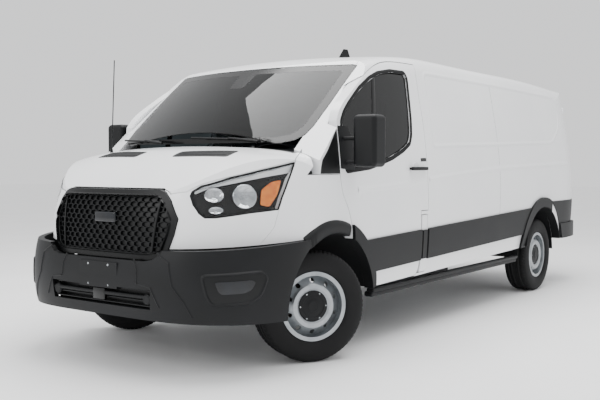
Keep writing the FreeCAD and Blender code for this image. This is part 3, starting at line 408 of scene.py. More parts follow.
# Soft black rubber for seals and wiper blades; it also draws the painted shade line of the side seam.
SEAL = material("black_seal_rubber", "#0E0E0F", "#181819", 60, (0.55, 0.75), grain=1.5, depth=0.05,
                Specular_IOR_Level=0.2)
# Silvered mirror glass.
MIRROR = material("silvered_mirror_glass", "#C9CED2", "#DDE1E3", 200, (0.01, 0.04), grain=80.0, depth=0.005,
                  Metallic=1.0)
# Printed screen, dark with a faint glow of its cover glass.
SCREENS = material("instrument_cover_glass", "#0A0C10", "#10141A", 50, (0.05, 0.12), grain=9.0, depth=0.005)
# Painted cargo floor and liner steel seen from below.
UNDERBODY = material("primed_floor_steel", "#8B8E90", "#A3A6A7", 200, (0.45, 0.65), grain=4.0, depth=0.10)
print(len(bpy.data.materials), "finishes")

# %% [markdown]
# ## Dress the frame
# Each panel of the frame keeps its shape and takes the finish its real counterpart has: paint on
# the steel panels, grained plastic on bumpers and side mouldings, glass, rubber, and waxed or cast
# metal underneath.

# %% Finishes on the frame
DRESS = {
    "body_side_left body_side_right sliding_door_right fuel_flap roof_panel front_wing_left front_wing_right "
    "nose_panel bonnet front_door_left front_door_right rear_door_left rear_door_right": PAINT,
    "front_bumper rear_bumper side_mouldings door_moulding_left door_moulding_right cowl_panel mirror_left "
    "mirror_right arch_liners": TRIM,
    "grille wipers roof_antennas": SATIN,
    "windscreen door_glass_left door_glass_right rear_glass_left rear_glass_right": GLASS,
    "headlamps": LENS, "tail_lamps": RED,
    "tyre_front_left tyre_front_right tyre_rear_left tyre_rear_right spare_wheel": RUBBER,
    "rim_front_left rim_front_right rim_rear_left rim_rear_right": SILVER,
    "chassis_frame leaf_springs fuel_tank drive_shaft": CHASSIS,
    "rear_axle engine_block knuckle_left knuckle_right": CAST,
    "exhaust": ZINC, "floor_pan": UNDERBODY, "dashboard steering_wheel": CABIN, "front_seats": CLOTH,
}
for names, finish in DRESS.items():
    for name in names.split():
        frame["nodes"][name].data.materials.clear()
        frame["nodes"][name].data.materials.append(finish)
bare = [name for name, node in frame["nodes"].items() if not node.data.materials]
print("dressed", len(frame["nodes"]), "nodes; left bare:", bare)

# %% [markdown]
# ## From shape to object
# A shape becomes a mesh object once: doubled points at seams and poles merge, faces turn outwards,
# and edges sharper than a set angle stay crisp while the rest shades smoothly.


# %% Build a piece
def build(name, shape, body, finish, angle=35):
    """Mesh object from a shape, riding on a body, finished with a material and tied to a material slot."""
    points, faces = shape
    mesh = bpy.data.meshes.new(name)
    mesh.from_pydata(points.tolist(), [], faces.tolist())
    form = bmesh.new()
    form.from_mesh(mesh)
    bmesh.ops.remove_doubles(form, verts=form.verts, dist=1e-5)
    bmesh.ops.dissolve_degenerate(form, edges=form.edges, dist=1e-6)
    bmesh.ops.recalc_face_normals(form, faces=form.faces)
    form.to_mesh(mesh)
    form.free()
    mesh.shade_smooth()
    mesh.set_sharp_from_angle(angle=math.radians(angle))
    mesh.materials.append(finish)
    piece = bpy.data.objects.new(name, mesh)
    bpy.context.scene.collection.objects.link(piece)
    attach(piece, body)
    print(f"  {name}: {len(mesh.polygons)} faces on {body}")
    return piece


# %% [markdown]
# ## Camera, floor and light
# The van stands on a pale studio floor, seen from its front left corner at chest height with a
# rather long lens. A bright even surround and two large soft panels give white paint its gentle
# shading.

# %% Stage
ground = at(np.linspace(-40000, 46000, 9)[:, None], np.linspace(-43000, 43000, 9)[None, :], 0.0)
floor_mesh = bpy.data.meshes.new("studio_floor")
floor_points, floor_faces = surface(ground)
floor_mesh.from_pydata(floor_points.tolist(), [], floor_faces.tolist())
floor_mesh.materials.append(material("pale_studio_vinyl", "#F8F8F8", "#FBFBFB", 900, (0.55, 0.65), grain=3.0,
                                     depth=0.02))
floor = bpy.data.objects.new("studio_floor", floor_mesh)
bpy.context.scene.collection.objects.link(floor)

world = bpy.data.worlds.new("soft_surround")
bpy.context.scene.world = world
world.use_nodes = True
sky = next(n for n in world.node_tree.nodes if n.type == "BACKGROUND")
sky.inputs["Color"].default_value = (0.985, 0.99, 1.0, 1)
sky.inputs["Strength"].default_value = 1.15


def softbox(name, place, aim, size, watts):
    """A square lamp at a place, turned so that its face looks at the aim point (metres)."""
    data = bpy.data.lights.new(name, "AREA")
    data.shape, data.size, data.energy = "SQUARE", size, watts
    lamp = bpy.data.objects.new(name, data)
    lamp.location = place
    lamp.rotation_euler = (Vector(aim) - Vector(place)).to_track_quat("-Z", "Y").to_euler()
    bpy.context.scene.collection.objects.link(lamp)


softbox("overhead_softbox", (0.5, 0.5, 6.5), (0, 0, 0), 6.0, 720)
softbox("front_softbox", (9.0, -2.0, 4.0), (2.0, 0, 1.0), 4.0, 200)

eye = Vector((6.3471, 3.9491, 1.2464))
YAW, PITCH = 3.7696, 0.0415
look = Vector((math.cos(YAW) * math.cos(PITCH), math.sin(YAW) * math.cos(PITCH), -math.sin(PITCH)))
camera_data = bpy.data.cameras.new("view")
camera_data.lens, camera_data.sensor_width = 50.2, 36.0
camera = bpy.data.objects.new("view", camera_data)
camera.location = eye
camera.rotation_euler = look.to_track_quat("-Z", "Y").to_euler()
bpy.context.scene.collection.objects.link(camera)
bpy.context.scene.camera = camera
print("camera at", tuple(round(k, 3) for k in eye))

# %% [markdown]
# ## Grille mesh
# Behind the black frame sits a moulded mesh of stretched six-sided cells. One cell is a ring of
# twelve points; numpy lays a copy at every lattice centre, pulls points that would stick out back
# to the frame's inner edge, and presses all of them onto the curved back plate. A repeated texture
# would look the same from far off but has no depth.

# %% Six-sided cells
GRILLE_EDGE = np.array([(372, 1072), (420, 1058), (452, 1026), (505, 932), (494, 852), (462, 760), (424, 740),
                        (366, 728), (-366, 728), (-424, 740), (-462, 760), (-494, 852), (-505, 932), (-452, 1026),
                        (-420, 1058), (-372, 1072)], float)


def pulled_inside(points, edge):
    """Points outside a convex outline move to their nearest place on it."""
    a, b = edge, np.roll(edge, -1, 0)
    ab = b - a
    ap = points[:, None] - a[None]
    t = np.clip((ap * ab).sum(-1) / (ab ** 2).sum(-1), 0, 1)
    foot = a + t[..., None] * ab
    away = ((points[:, None] - foot) ** 2).sum(-1)
    nearest = foot[np.arange(len(points)), away.argmin(1)]
    crossed = ab[None, :, 0] * ap[..., 1] - ab[None, :, 1] * ap[..., 0]
    inside = (crossed <= 0).all(1) | (crossed >= 0).all(1)
    return np.where(inside[:, None], points, nearest)


CELL_WIDE, CELL_TALL, BAR = 56.0, 37.0, 2.6
row, column = np.meshgrid(np.arange(-6, 7), np.arange(-11, 12), indexing="ij")
centres = np.stack([(column + 0.5 * (row % 2)) * CELL_WIDE, 900 + row * CELL_TALL * 0.79], -1).reshape(-1, 2)
centres = centres[np.linalg.norm(centres - pulled_inside(centres, GRILLE_EDGE), axis=1) < 26]
corner = np.radians(30 + 60 * np.arange(6))
ring = np.stack([np.cos(corner) / math.cos(math.radians(30)) * CELL_WIDE / 2,
                 np.sin(corner) * CELL_TALL / 1.92], 1)
inner = ring * (1 - 2 * BAR / np.array([CELL_WIDE, CELL_TALL * 1.15]))
flat_cells = centres[:, None, None] + np.stack([ring, inner])[None]
flat_cells = pulled_inside(flat_cells.reshape(-1, 2), GRILLE_EDGE).reshape(flat_cells.shape)
front = press(front_view(flat_cells), ["grille"], AHEAD, 14.0)
cells = []
for cell in front:
    cells.append(slab(cell, (-0.013, 0, 0), wrap=True, hole=True))
build("grille_mesh", joined(*cells), "van_body", TRIM, angle=30)

# %% [markdown]
# ## Grille bars and a plain boss
# Two slanting posts brace the mesh and a raised rib runs inside the frame. The boss in the middle
# is a plain rounded block, made with the rounded-box formula.

# %% Bars and boss
posts = []
for high, low in (((424, 1042), (389, 739)), ((-424, 1042), (-389, 739))):
    line = run([high, low], 24)
    posts.append(strip(front_view(line), 20, 22, ["grille"], AHEAD, closed=False, flat=True))
inside_edge = loop(GRILLE_EDGE, 160)
posts.append(strip(front_view(inside_edge), 12, 20, ["grille"], AHEAD, flat=True))
build("grille_posts", joined(*posts), "van_body", SATIN)
boss_s = (NOSE - press(at(0, 0, 932.0)[None], ["grille"], AHEAD)[0, 0]) * 1000
build("grille_boss", block((boss_s - 24, -92, 900), (boss_s + 4, 92, 966), 12), "van_body", SCREENS)

# %% [markdown]
# ## Headlamps
# A headlamp is a clear shell over a dark housing that holds mirror bowls. The shell follows the
# wing, so its outline is pressed onto the lamp's own surface; the housing is the same outline drawn
# in and pushed back. The bowls are paraboloids: the depth grows with the square of the radius,
# which is what sends the light forward.

# %% Lamp shell and housing
LAMP = [(189, 1067), (203, 1096), (237, 1125), (359, 1174), (521, 1218), (735, 1266), (658, 1146), (605, 1052),
        (574, 982), (411, 965), (254, 939), (214, 939), (197, 965), (186, 1016)]
lamp_edge = fan(loop(LAMP, 150), 2, (420, 1072))[1]
lamp_grid = fan((lamp_edge - (420, 1072)) * 0.985 + (420, 1072), 26, (420, 1072))
lens_front = press(side_view(lamp_grid), ["headlamps"], LEFT_SIDE, 0.0)
INTO_LAMP = np.array([-0.62, -0.76, -0.05])
lens = slab(lens_front, INTO_LAMP * 0.003, wrap=True)
depths = np.minimum(0.040, 0.006 + 0.09 * np.linspace(1, 0, 26) ** 0.5)[:, None, None]
house = lens_front + INTO_LAMP * depths
housing = slab(house, INTO_LAMP * 0.004, wrap=True)
shells = build("headlamp_lenses", both(lens), "van_body", LENS)
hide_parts("headlamps")
build("headlamp_housings", both(housing), "van_body", SATIN)


# %% Bowls and bezels
def lamp_place(s, z, inward):
    """A place inward mm behind the lens and the lens's outward direction there, from two small steps on it."""
    spots = press(at([s, s + 8, s], 0, [z, z, z + 8]), ["headlamps"], LEFT_SIDE)
    out = np.cross(spots[1] - spots[0], spots[2] - spots[0])
    out *= np.sign(out[1]) / np.linalg.norm(out)
    return spots[0] - out * inward / 1000, out


def bowl(s, z, radius, depth, inward, squash=1.0, count=20):
    """A mirror bowl: depth x (1 - (r / R) squared) behind its rolled rim; squash flattens it in z."""
    place, out = lamp_place(s, z, inward)
    r = np.linspace(0, 1, 7)
    profile = [(radius * k, -depth * (1 - k * k)) for k in r] + [(radius * 1.06, 2), (radius * 1.10, 0),
                                                                (radius * 1.08, -depth * 0.6)]
    points, faces = turned(profile, np.zeros(3), out, count)
    bulb = turned([(0, depth * 0.3), (8, depth * 0.2), (12, -2), (13, -depth), (0, -depth)], place, out, 32)
    return (points * [1, 1, squash] + place, faces), bulb


bowls, bulbs = zip(bowl(400, 1066, 66, 20, 9), bowl(270, 1074, 52, 14, 9, 0.80), bowl(262, 986, 40, 8, 8, 0.50))
build("headlamp_reflectors", both(joined(*bowls)), "van_body", CHROME, angle=7)
build("headlamp_bulbs", both(joined(*bulbs)), "van_body", LENS)
amber = fan(loop([(472, 1013), (521, 1001), (576, 1070), (616, 1158), (555, 1147), (490, 1101)], 60, 2), 8)
amber = press(side_view(amber), ["headlamps"], LEFT_SIDE, -4.0)
build("side_markers", both(slab(amber, INTO_LAMP * 0.012, wrap=True)), "van_body", AMBER)
brow = run([(215, 1100), (359, 1160), (521, 1204), (700, 1248)], 60)
brow = press(side_view(brow), ["headlamps"], LEFT_SIDE, -12.0)
build("lamp_light_guides", both(tube(brow, 0.005)), "van_body", CHROME)
rim = fan(loop(LAMP, 220), 2, (420, 1072))[1]
rim = (rim - (420, 1072)) * 0.975 + (420, 1072)
build("headlamp_rims", both(strip(side_view(rim), 11, 1.6, ["headlamps"], LEFT_SIDE, flat=True)),
      "van_body", SATIN)

# %% [markdown]
# ## Fog lamp pockets
# Fog lamp pockets sit in the moulded bumper's corners. They are outlines pressed on along the
# corner's own outward direction, with a raised rim, so they follow the corner's curve; a cut in the
# bumper would need new CAD.

# %% Fog lamp pockets
CORNER = (0.62, 0.78, 0)
fog_edge = [(105, 748, 624), (194, 849, 628), (385, 963, 637), (422, 978, 602), (378, 962, 502), (315, 932, 461),
            (143, 796, 454), (121, 771, 505)]
fog_loop = loop(fog_edge, 96, 6)
fog_grid = fan(fog_loop, 14)
fog_skin = press(in_space(fog_grid), ["front_bumper"], CORNER, 0.5)
build("fog_pockets", both(slab(fog_skin, -0.003 * np.array(CORNER), wrap=True)), "van_body", SATIN)
fog_rim = in_space(fog_loop)
build("fog_rims", both(strip(fog_rim, 22, 9, ["front_bumper"], CORNER)), "van_body", TRIM)
middle = fog_loop.mean(0)
lens_loop = middle + (fog_loop - middle) * [0.62, 0.62, 0.42] + [0, 0, 4]
fog_lens = fan(lens_loop, 8)
fog_lens = press(in_space(fog_lens), ["front_bumper"], CORNER, 5.0)
build("fog_lamps", both(slab(fog_lens, -0.005 * np.array(CORNER), wrap=True)), "van_body", SCREENS)

# %% [markdown]
# ## Intake, plate screws and ridges
# The lower intake is dark and shows a thin bar between two round ends, with the radiator behind it.
# Four screws sit on the blank plate carrier, and soft ridges break up the moulded face. Blocks,
# pipes and beads are enough for these.

# %% Intake and plate
slats = [block((24 + k, -425, 424 + 30 * k), (46 + k, 425, 432 + 30 * k), 3) for k in range(4)]
build("intake_back", block((64, -440, 380), (70, 440, 540), 2), "van_body", SATIN)
build("intake_slats", joined(*slats), "van_body", SATIN)
bar = run([(22, -436, 480), (14, -200, 480), (12, 0, 480), (14, 200, 480), (22, 436, 480)], 40)
build("intake_bar", tube(at(bar[:, 0] + 6, bar[:, 1], bar[:, 2]), 0.013), "van_body", TRIM)
ends = [turned([(0, 12), (24, 12), (32, 6), (34, -8), (0, -10)], at(26, y, 468), AHEAD, 40)
        for y in (-400, 400)]
build("intake_ends", joined(*ends), "van_body", TRIM)
PLATE_SCREW_Y, PLATE_SCREW_Z = 88.9, (529.7, 650.3)
plate_s = (NOSE - press(at(0, PLATE_SCREW_Y, 640.0)[None], ["front_bumper"], AHEAD)[0, 0]) * 1000
head = plate_s - (NOSE - CAD_BOX[1][0]) * 1000
print("plate pad at s", round(plate_s, 2), "and screw heads", round(head, 2), "mm high")
screws = [turned([(0, head), (5, head), (7, 0), (7, -1), (0, -1)], at(plate_s, y, z), AHEAD, 24)
          for y in (-PLATE_SCREW_Y, PLATE_SCREW_Y) for z in PLATE_SCREW_Z]
build("plate_screws", joined(*screws), "van_body", ZINC)
ridges = []
for corners in ([(470, 742), (560, 690), (590, 560), (660, 470), (700, 380)],
                [(300, 700), (330, 640), (335, 560), (440, 545), (500, 430)]):
    line = run(corners, 70)
    ridges.append(strip(front_view(line), 16, 5, ["front_bumper"], AHEAD, closed=False))
ridge_points, ridge_faces = joined(*ridges)
ridge_points[:, 0] = np.minimum(ridge_points[:, 0], CAD_BOX[1][0] - 0.0002)
build("bumper_ridges", both((ridge_points, ridge_faces)), "van_body", TRIM)
build("lower_sensor_block", block((4, -52, 436), (30, 52, 508), 8), "van_body", GLOSS)
build("radiator_core", joined(*[block((150, -420, 400 + 12 * k), (176, 420, 406 + 12 * k), 2, 3)
                                for k in range(24)]), "van_body", CHASSIS)

# %% [markdown]
# ## Bonnet vents
# Two ribbed black mouldings lie in the bonnet. Each is an outline laid on the panel with three
# beads across it.

# %% Bonnet vents
vents = []
for sign in (1, -1):
    corners = [(464, sign * 163), (572, sign * 155), (649, sign * 578), (509, sign * 593)]
    face = fan(loop(corners, 80, 3), 8)
    vents.append(slab(press(plan_view(face), ["bonnet"], ABOVE, 1.2), (0, 0, -0.003), wrap=True))
    for share in (0.25, 0.5, 0.75):
        a = np.array(corners[0]) * (1 - share) + np.array(corners[1]) * share
        b = np.array(corners[3]) * (1 - share) + np.array(corners[2]) * share
        rib = run([a + (b - a) * 0.06, b - (b - a) * 0.06], 30)
        vents.append(strip(plan_view(rib), 14, 4.5, ["bonnet"], ABOVE, closed=False))
build("bonnet_vents", joined(*vents), "bonnet", TRIM)

# %% [markdown]
# ## Window seals, dividers and pillar patches
# The seals are beads that follow the window's edge, as an extruded rubber does. A bar divides the
# glass, and a black patch fills the corner between the windscreen pillar and the door.

# %% Window seals and patches
WINDOW = [(1200, 1530), (1245, 1590), (1320, 1651), (1472, 1755), (1625, 1835), (1748, 1881), (1927, 1915),
          (2130, 1922), (2157, 1885), (2146, 1767), (2126, 1581), (2106, 1470), (2071, 1410), (1960, 1360),
          (1800, 1310), (1500, 1243), (1215, 1215), (1200, 1260)]
for side, sign, toward in SIDES:
    door = "front_door_" + side
    ring_path = loop(WINDOW, 260, 2)
    grown = ring_path + (ring_path - ring_path.mean(0)) / np.linalg.norm(
        ring_path - ring_path.mean(0), axis=1, keepdims=True) * 15
    build("window_seal_" + side, strip(side_view(grown), 32, 3.5, [door], toward), door, SEAL)
    bar = run([(1686, 1868), (1652, 1720), (1612, 1540), (1560, 1300)], 40)
    glass = "door_glass_" + side
    build("window_divider_" + side, strip(side_view(bar), 52, 5, [glass], toward, False, flat=True),
          door, SATIN)
    z = np.linspace(1193, 1474, 24)[:, None]
    front_edge = np.interp(z, [1193, 1240, 1279, 1342, 1410, 1474], [900, 914, 932, 1000, 1058, 1114])
    skin = press(at(1140, 0, z[:, 0]), [door], toward)[:, None, 1] * 1000 + 5.0 * sign
    patch = at(1116 + (front_edge - 1116) * np.linspace(0, 1, 16), skin, z)
    build("pillar_patch_" + side, slab(patch, (0, -0.012 * sign, 0)), "van_body", SATIN)

# %% [markdown]
# ## Screen border and sensor housing
# Windscreens carry a fired black border that hides the glue, wider at the top middle where a camera
# looks through. It lies on the glass as a very thin sheet.

# %% Screen border
SCREEN_EDGE = [(700, 1394), (780, 1414), (814, 1446), (830, 1500), (832, 1652), (820, 1935), (786, 1943),
               (400, 1947), (-400, 1947), (-786, 1943), (-820, 1935), (-832, 1652), (-830, 1500), (-814, 1446),
               (-780, 1414), (-700, 1394)]
border = loop(SCREEN_EDGE, 300, 2)
border_grid = np.stack([border, (border - (0, 1660)) * [0.93, 0.87] + (0, 1660)])
border_grid = border_grid[0] + np.linspace(0, 1, 4)[:, None, None] * (border_grid[1] - border_grid[0])
border_skin = press(front_view(border_grid), ["windscreen"], AHEAD, 0.4)
sensor = fan(loop([(-85, 1945), (85, 1945), (62, 1800), (-62, 1800)], 80, 3), 6)
sensor_skin = press(front_view(sensor), ["windscreen"], AHEAD, 0.7)
build("screen_border", joined(slab(border_skin, (-0.0006, 0, 0), wrap=True, hole=True),
                              slab(sensor_skin, (-0.0006, 0, 0), wrap=True)), "van_body", GLOSS)

# %% [markdown]
# ## Wheel opening flare, lining and sill
# The front wheel opening has a black flare that stands 20 mm off the wing. It is a ring between two
# radii, laid on the wing and lifted by a curve that falls to nothing at its outer edge. A plain
# lining hides the edge of the sheet, and a black plastic sill runs under the doors.

# %% Flare, lining and sill
ARCH_S, ARCH_Z = 1035.0, 356.0
turn = np.radians(np.linspace(69.5, 124, 70))[None, :]
out_share = np.linspace(0, 1, 10)[:, None]
radius = 467 + 78 * out_share
flare = at(ARCH_S + radius * np.cos(turn), 0, ARCH_Z + radius * np.sin(turn))
flare = press(flare, ["front_wing_left"], LEFT_SIDE)
flare = flare + np.stack([0 * out_share, 21 * (1 - out_share ** 5) / 1000 + 0.0005, 0 * out_share], -1)
build("front_flares", both(slab(flare, (0, -0.022, 0))), "van_body", TRIM)
across = np.linspace(0, 1, 6)[:, None]
lining = at(ARCH_S + 461 * np.cos(turn), 800 + (flare[0, :, 1] * 1000 - 802)[None] * across,
            ARCH_Z + 461 * np.sin(turn))
radial = np.stack([-np.cos(turn), 0 * turn, np.sin(turn)], -1) * 0.004
build("arch_linings", both(slab(lining, radial)), "van_body", TRIM)
sills = [block((1590, 905, 334), (4230, 972, 372), 14), block((1590, 925, 366), (4230, 985, 396), 10)]
build("sill_strips", both(joined(*sills)), "van_body", TRIM)
flap = fan(loop([(2238, 545), (2300, 547), (2300, 764), (2238, 762)], 80), 5)
flap = press(side_view(flap), ["fuel_flap"], LEFT_SIDE, 13.0)
build("flap_band", slab(flap, (0, -0.0125, 0), wrap=True), "fuel_flap", TRIM)

# %% [markdown]
# ## Pressed lines in the side
# The side has a shallow recess under the roof, a rising crease and seams between its pressings.
# They are only a few millimetres deep, so a bead in the same paint carries the light as the
# pressing does; the seam is a thin black strip instead, painted shade of its groove.

# %% Side pressings
RECESS = [(2440, 1957), (3961, 1966), (5283, 1957), (5335, 1945), (5436, 1781), (5365, 1620), (5131, 1478),
          (3765, 1434), (2746, 1405), (2440, 1390)]
recess = loop(RECESS, 420, 12)
build("side_recess_left", strip(side_view(recess), 46, 5.5, ["body_side_left"], LEFT_SIDE),
      "van_body", PAINT)
rear_recess = loop([(3770, 1965)] + RECESS[2:8], 300, 10)
door_recess = loop([(2440, 1957), (3590, 1962), (3590, 1432), (2746, 1405), (2440, 1390)], 300, 10)
build("side_recess_right", joined(
    strip(side_view(rear_recess), 46, 5.5, ["body_side_right"], RIGHT_SIDE),
    strip(side_view(door_recess), 46, 5.5, ["sliding_door_right"], RIGHT_SIDE)),
    "van_body", PAINT)


def crease(s0, s1):
    """The rising side crease between two stations: its height is read off a short table."""
    s = np.linspace(s0, s1, 90)
    z = np.interp(s, [1353, 1895, 2704, 3722, 5010, 5314], [1083, 1107, 1163, 1220, 1252, 1263])
    return at(s, 0, z)


for name, node, s0, s1, toward, body in (
        ("crease_door_left", "front_door_left", 1330, 2300, LEFT_SIDE, "front_door_left"),
        ("crease_door_right", "front_door_right", 1330, 2300, RIGHT_SIDE, "front_door_right"),
        ("crease_side_left", "body_side_left", 2352, 5560, LEFT_SIDE, "van_body"),
        ("crease_slide_right", "sliding_door_right", 2356, 3630, RIGHT_SIDE, "van_body"),
        ("crease_side_right", "body_side_right", 3690, 5560, RIGHT_SIDE, "van_body")):
    build(name, strip(crease(s0, s1), 56, 6.0, [node], toward, closed=False), body, PAINT)
# The seam is a thin black strip: painted shade standing in for the shadow in the joint, not a rubber part.
seam = run([(3700, 1990), (3712, 1500), (3716, 1100), (3700, 860), (3694, 600)], 80)
build("side_seam_painted_shade_left", strip(side_view(seam), 5, 0.8, ["body_side_left"], LEFT_SIDE, closed=False),
      "van_body", SEAL)

# %% [markdown]
# ## Roof ribs
# Long ribs stiffen the flat roof sheet. Four soft beads run from behind the cab to the tail, laid
# on the panel by the same pressing formula as the seals.

# %% Roof
ribs = [strip(at(np.linspace(2500, 5650, 60), y, 0), 60, 5, ["roof_panel"], ABOVE, closed=False)
        for y in (-560, -280, 280, 560)]
build("roof_ribs", joined(*ribs), "van_body", PAINT)

# %% [markdown]
# ## Handles, locks and hinges
# A pull handle is a rounded bar on two feet over a dished cup. The bars use the rounded-box
# formula; the cups are turned dishes pressed flat on the door.


# %% Door furniture
def handle(s, z, node, toward, long=248):
    """Pull bar over a round cup: the bar stands 30 mm off the skin, its two feet reach down to it."""
    sign = 1 if toward[1] > 0 else -1
    skin = press(at(s, 0, z)[None], [node], toward)[0, 1] * 1000 * sign
    ends = sorted((sign * (skin + 14), sign * (skin + 32)))
    feet = sorted((sign * (skin - 2), sign * (skin + 20)))
    bar = block((s - long * 0.42, ends[0], z - 13), (s + long * 0.58, ends[1], z + 13), 8)
    foot_a = block((s - long * 0.40, feet[0], z - 10), (s - long * 0.28, feet[1], z + 10), 5)
    foot_b = block((s + long * 0.46, feet[0], z - 10), (s + long * 0.57, feet[1], z + 10), 5)
    cup = turned([(0, -1), (30, -1), (44, 1.0), (50, 2.2), (53, 1.2), (53, -2), (0, -4)],
                 at(s, sign * (skin + 1.0), z - 2), toward, 56)
    lock, lock_faces = turned([(0, 4), (17, 3.5), (20, 1), (20, -2), (0, -2)], np.zeros(3), toward, 40)
    lock = (lock * [1, 1, 1.45] + at(s - 15, sign * (skin + 3), z - 245), lock_faces)
    return joined(bar, foot_a, foot_b), cup, lock


for name, node, s, z, toward, body in (
        ("front_left", "front_door_left", 2145, 1222, LEFT_SIDE, "front_door_left"),
        ("front_right", "front_door_right", 2145, 1222, RIGHT_SIDE, "front_door_right"),
        ("slide_right", "sliding_door_right", 2440, 1222, RIGHT_SIDE, "van_body")):
    bar, cup, lock = handle(s, z, node, toward)
    build("handle_" + name, joined(bar, lock), body, TRIM)
    build("handle_cup_" + name, cup, body, PAINT)
    plate = fan(loop([(s + 82, z + 52), (s + 172, z + 54), (s + 172, z + 80), (s + 82, z + 78)], 60, 2), 5)
    plate = press(side_view(plate), [node], toward, 1.5)
    build("handle_plate_" + name, slab(plate, -0.003 * np.array(toward), wrap=True), body, GLOSS)
rail = block((3700, -1016, 1196), (5480, -1004, 1226), 4)
build("slide_rail_cover", rail, "van_body", TRIM)

# %% [markdown]
# ## Door mirrors
# Each head holds a tall flat glass over a small wide-angle one, set in the face that looks back.

# %% Mirror glasses
MIRROR_BACK = 1320.0        # station of the face of the head that looks back
for side, sign, toward in SIDES:
    y0, y1 = sorted((sign * 1092, sign * 1230))
    upper = fan(loop([(y0, 1345), (y1, 1345), (y1, 1552), (y0, 1552)], 80, 4), 8)
    lower = fan(loop([(y0, 1252), (y1, 1252), (y1, 1330), (y0, 1330)], 80, 4), 8)
    bulge = 4 * (1 - np.linspace(0, 1, 8) ** 2)[:, None]
    shape = joined(slab(at(MIRROR_BACK + 1.0, upper[..., 0], upper[..., 1]), (0.003, 0, 0), wrap=True),
                   slab(at(MIRROR_BACK + 1.0 + bulge, lower[..., 0], lower[..., 1]), (0.003, 0, 0), wrap=True))
    build("mirror_glass_" + side, shape, "front_door_" + side, MIRROR)

# %% [markdown]
# ## Tyres with tread
# A tyre is one profile turned round the axle. The tread comes from the same grid: the radius drops
# where a rib or a cross groove runs, so four grooves go round and slanting ones cut the shoulders
# into blocks.


# %% Tyres
def wheel_place(body):
    """Centre of a wheel and its outward axis, read from the joint that it spins on and its rim."""
    joint = next(j for j in frame["joints"] if j["child"] == body)
    axis = np.array(joint["axis"], float)
    low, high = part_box(body.replace("wheel", "tyre"))
    centre = (np.array(low) + np.array(high)) / 2
    out = 1 if centre[1] > 0 else -1
    return centre, axis * np.sign(axis[1]) * out


def tyre_shape(centre, axis, around=432):
    """Radius r and offset y of the profile; r falls by 8 mm in a groove, 5 in a cut and 2.5 in a sipe."""
    half = [(203, 86), (222, 87), (225, 99), (234, 107), (250, 113), (275, 116.5), (300, 115.5), (318, 112),
            (330, 108), (338, 104), (344, 99), (349, 93), (353, 84), (355, 74), (355.6, 64), (355.8, 56), (355.9, 46),
            (356, 36), (356, 30), (356, 20), (356, 8)]
    profile = np.array(half + [(r, -y) for r, y in reversed(half)])
    r, y = profile[:, :1], profile[:, 1:]
    a = np.linspace(0, 2 * np.pi, around, endpoint=False)[None, :]
    tread = r > 340
    grooves = ((np.abs(np.abs(y) - 52) < 7) | (np.abs(np.abs(y) - 14) < 7)) & (r > 354)
    pitch = np.mod(a / (2 * np.pi) * 72 + np.abs(y) * 0.012, 1.0)
    cuts = tread & (np.abs(y) > 58) & (pitch < 0.22)
    sipes = tread & (np.abs(y) <= 50) & (pitch < 0.14)
    drop = np.where(grooves, 8.0, 0) + np.where(cuts & ~grooves, 5.0, 0) + np.where(sipes & ~grooves, 2.5, 0)
    radius = (r - drop) / 1000
    side = np.cross(axis, [0, 0, 1.0])
    side /= np.linalg.norm(side)
    top = np.cross(side, axis)
    grid = centre + radius[..., None] * (np.cos(a)[..., None] * side + np.sin(a)[..., None] * top) \
        + (y / 1000 * np.ones_like(a))[..., None] * axis
    return surface(grid, wrap_rows=True, wrap_columns=True)


for body in ("wheel_front_left", "wheel_front_right", "wheel_rear_left", "wheel_rear_right"):
    centre, axis = wheel_place(body)
    tyre = build(body.replace("wheel", "treaded_tyre"), tyre_shape(centre, axis), body, RUBBER,
                 angle=28)
    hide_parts(body.replace("wheel", "tyre"))
    a = 2 * np.pi * np.arange(6) / 6
    side = np.cross(axis, [0, 0, 1.0])
    side /= np.linalg.norm(side)
    spots = centre + axis * 0.066
    spots = spots + 0.086 * (np.cos(a)[:, None] * side + np.sin(a)[:, None] * np.cross(side, axis))
    nuts = [turned([(0, 20), (7, 19), (11, 12), (12.5, 4), (15, 0), (0, -1)], spot, axis, 6) for spot in spots]
    cap = turned([(0, 34), (34, 33), (38, 30), (70, 28), (74, 31), (96, 28), (100, 24), (113, 18), (118, 8),
                  (118, 0), (0, -2)], centre + axis * 0.056, axis, 96)
    build(body.replace("wheel", "hub_cap"), cap, body, TRIM)
    build(body.replace("wheel", "wheel_nuts"), joined(*nuts), body, ZINC)

# %% [markdown]
# ## The rear end
# Barn doors hang on three hinges a side and close on a handle. The hinges are rounded blocks set
# where the door's skin is, and each window has a rubber seal.

# %% Hinges, seals and handle
for side, sign, toward in SIDES:
    hinges = []
    for z in (1000, 1440, 1850):
        spot = press(at(6000, sign * 800, z)[None], ["rear_door_" + side], BEHIND)[0, 0]
        s = (NOSE - spot) * 1000
        y0, y1 = sorted((sign * 740, sign * 850))
        hinges.append(block((s - 6, y0, z - 28), (s + 10, y1, z + 28), 6))
    build("rear_hinges_" + side, joined(*hinges), "rear_door_" + side, PAINT)
    seal = loop([(130, 1330), (700, 1330), (690, 1840), (130, 1840)], 200, 3)
    seal = at(6000, sign * ((seal[:, 0] - 412) * 1.03 + 412), (seal[:, 1] - 1585) * 1.03 + 1585)
    build("rear_seal_" + side, strip(seal, 20, 3, ["rear_door_" + side], BEHIND), "rear_door_" + side, SEAL)
pull = block((5924, -150, 1120), (5946, -40, 1160), 8)
build("rear_handle", pull, "rear_door_right", TRIM)

# %% [markdown]
# ## Plate pad, high lamp and step
# The right door carries a blank plate pad. The brake lamp is a bar under the roof's rear edge, and
# the step has raised ribs for grip: a block and a few beads, because they are plain mouldings.

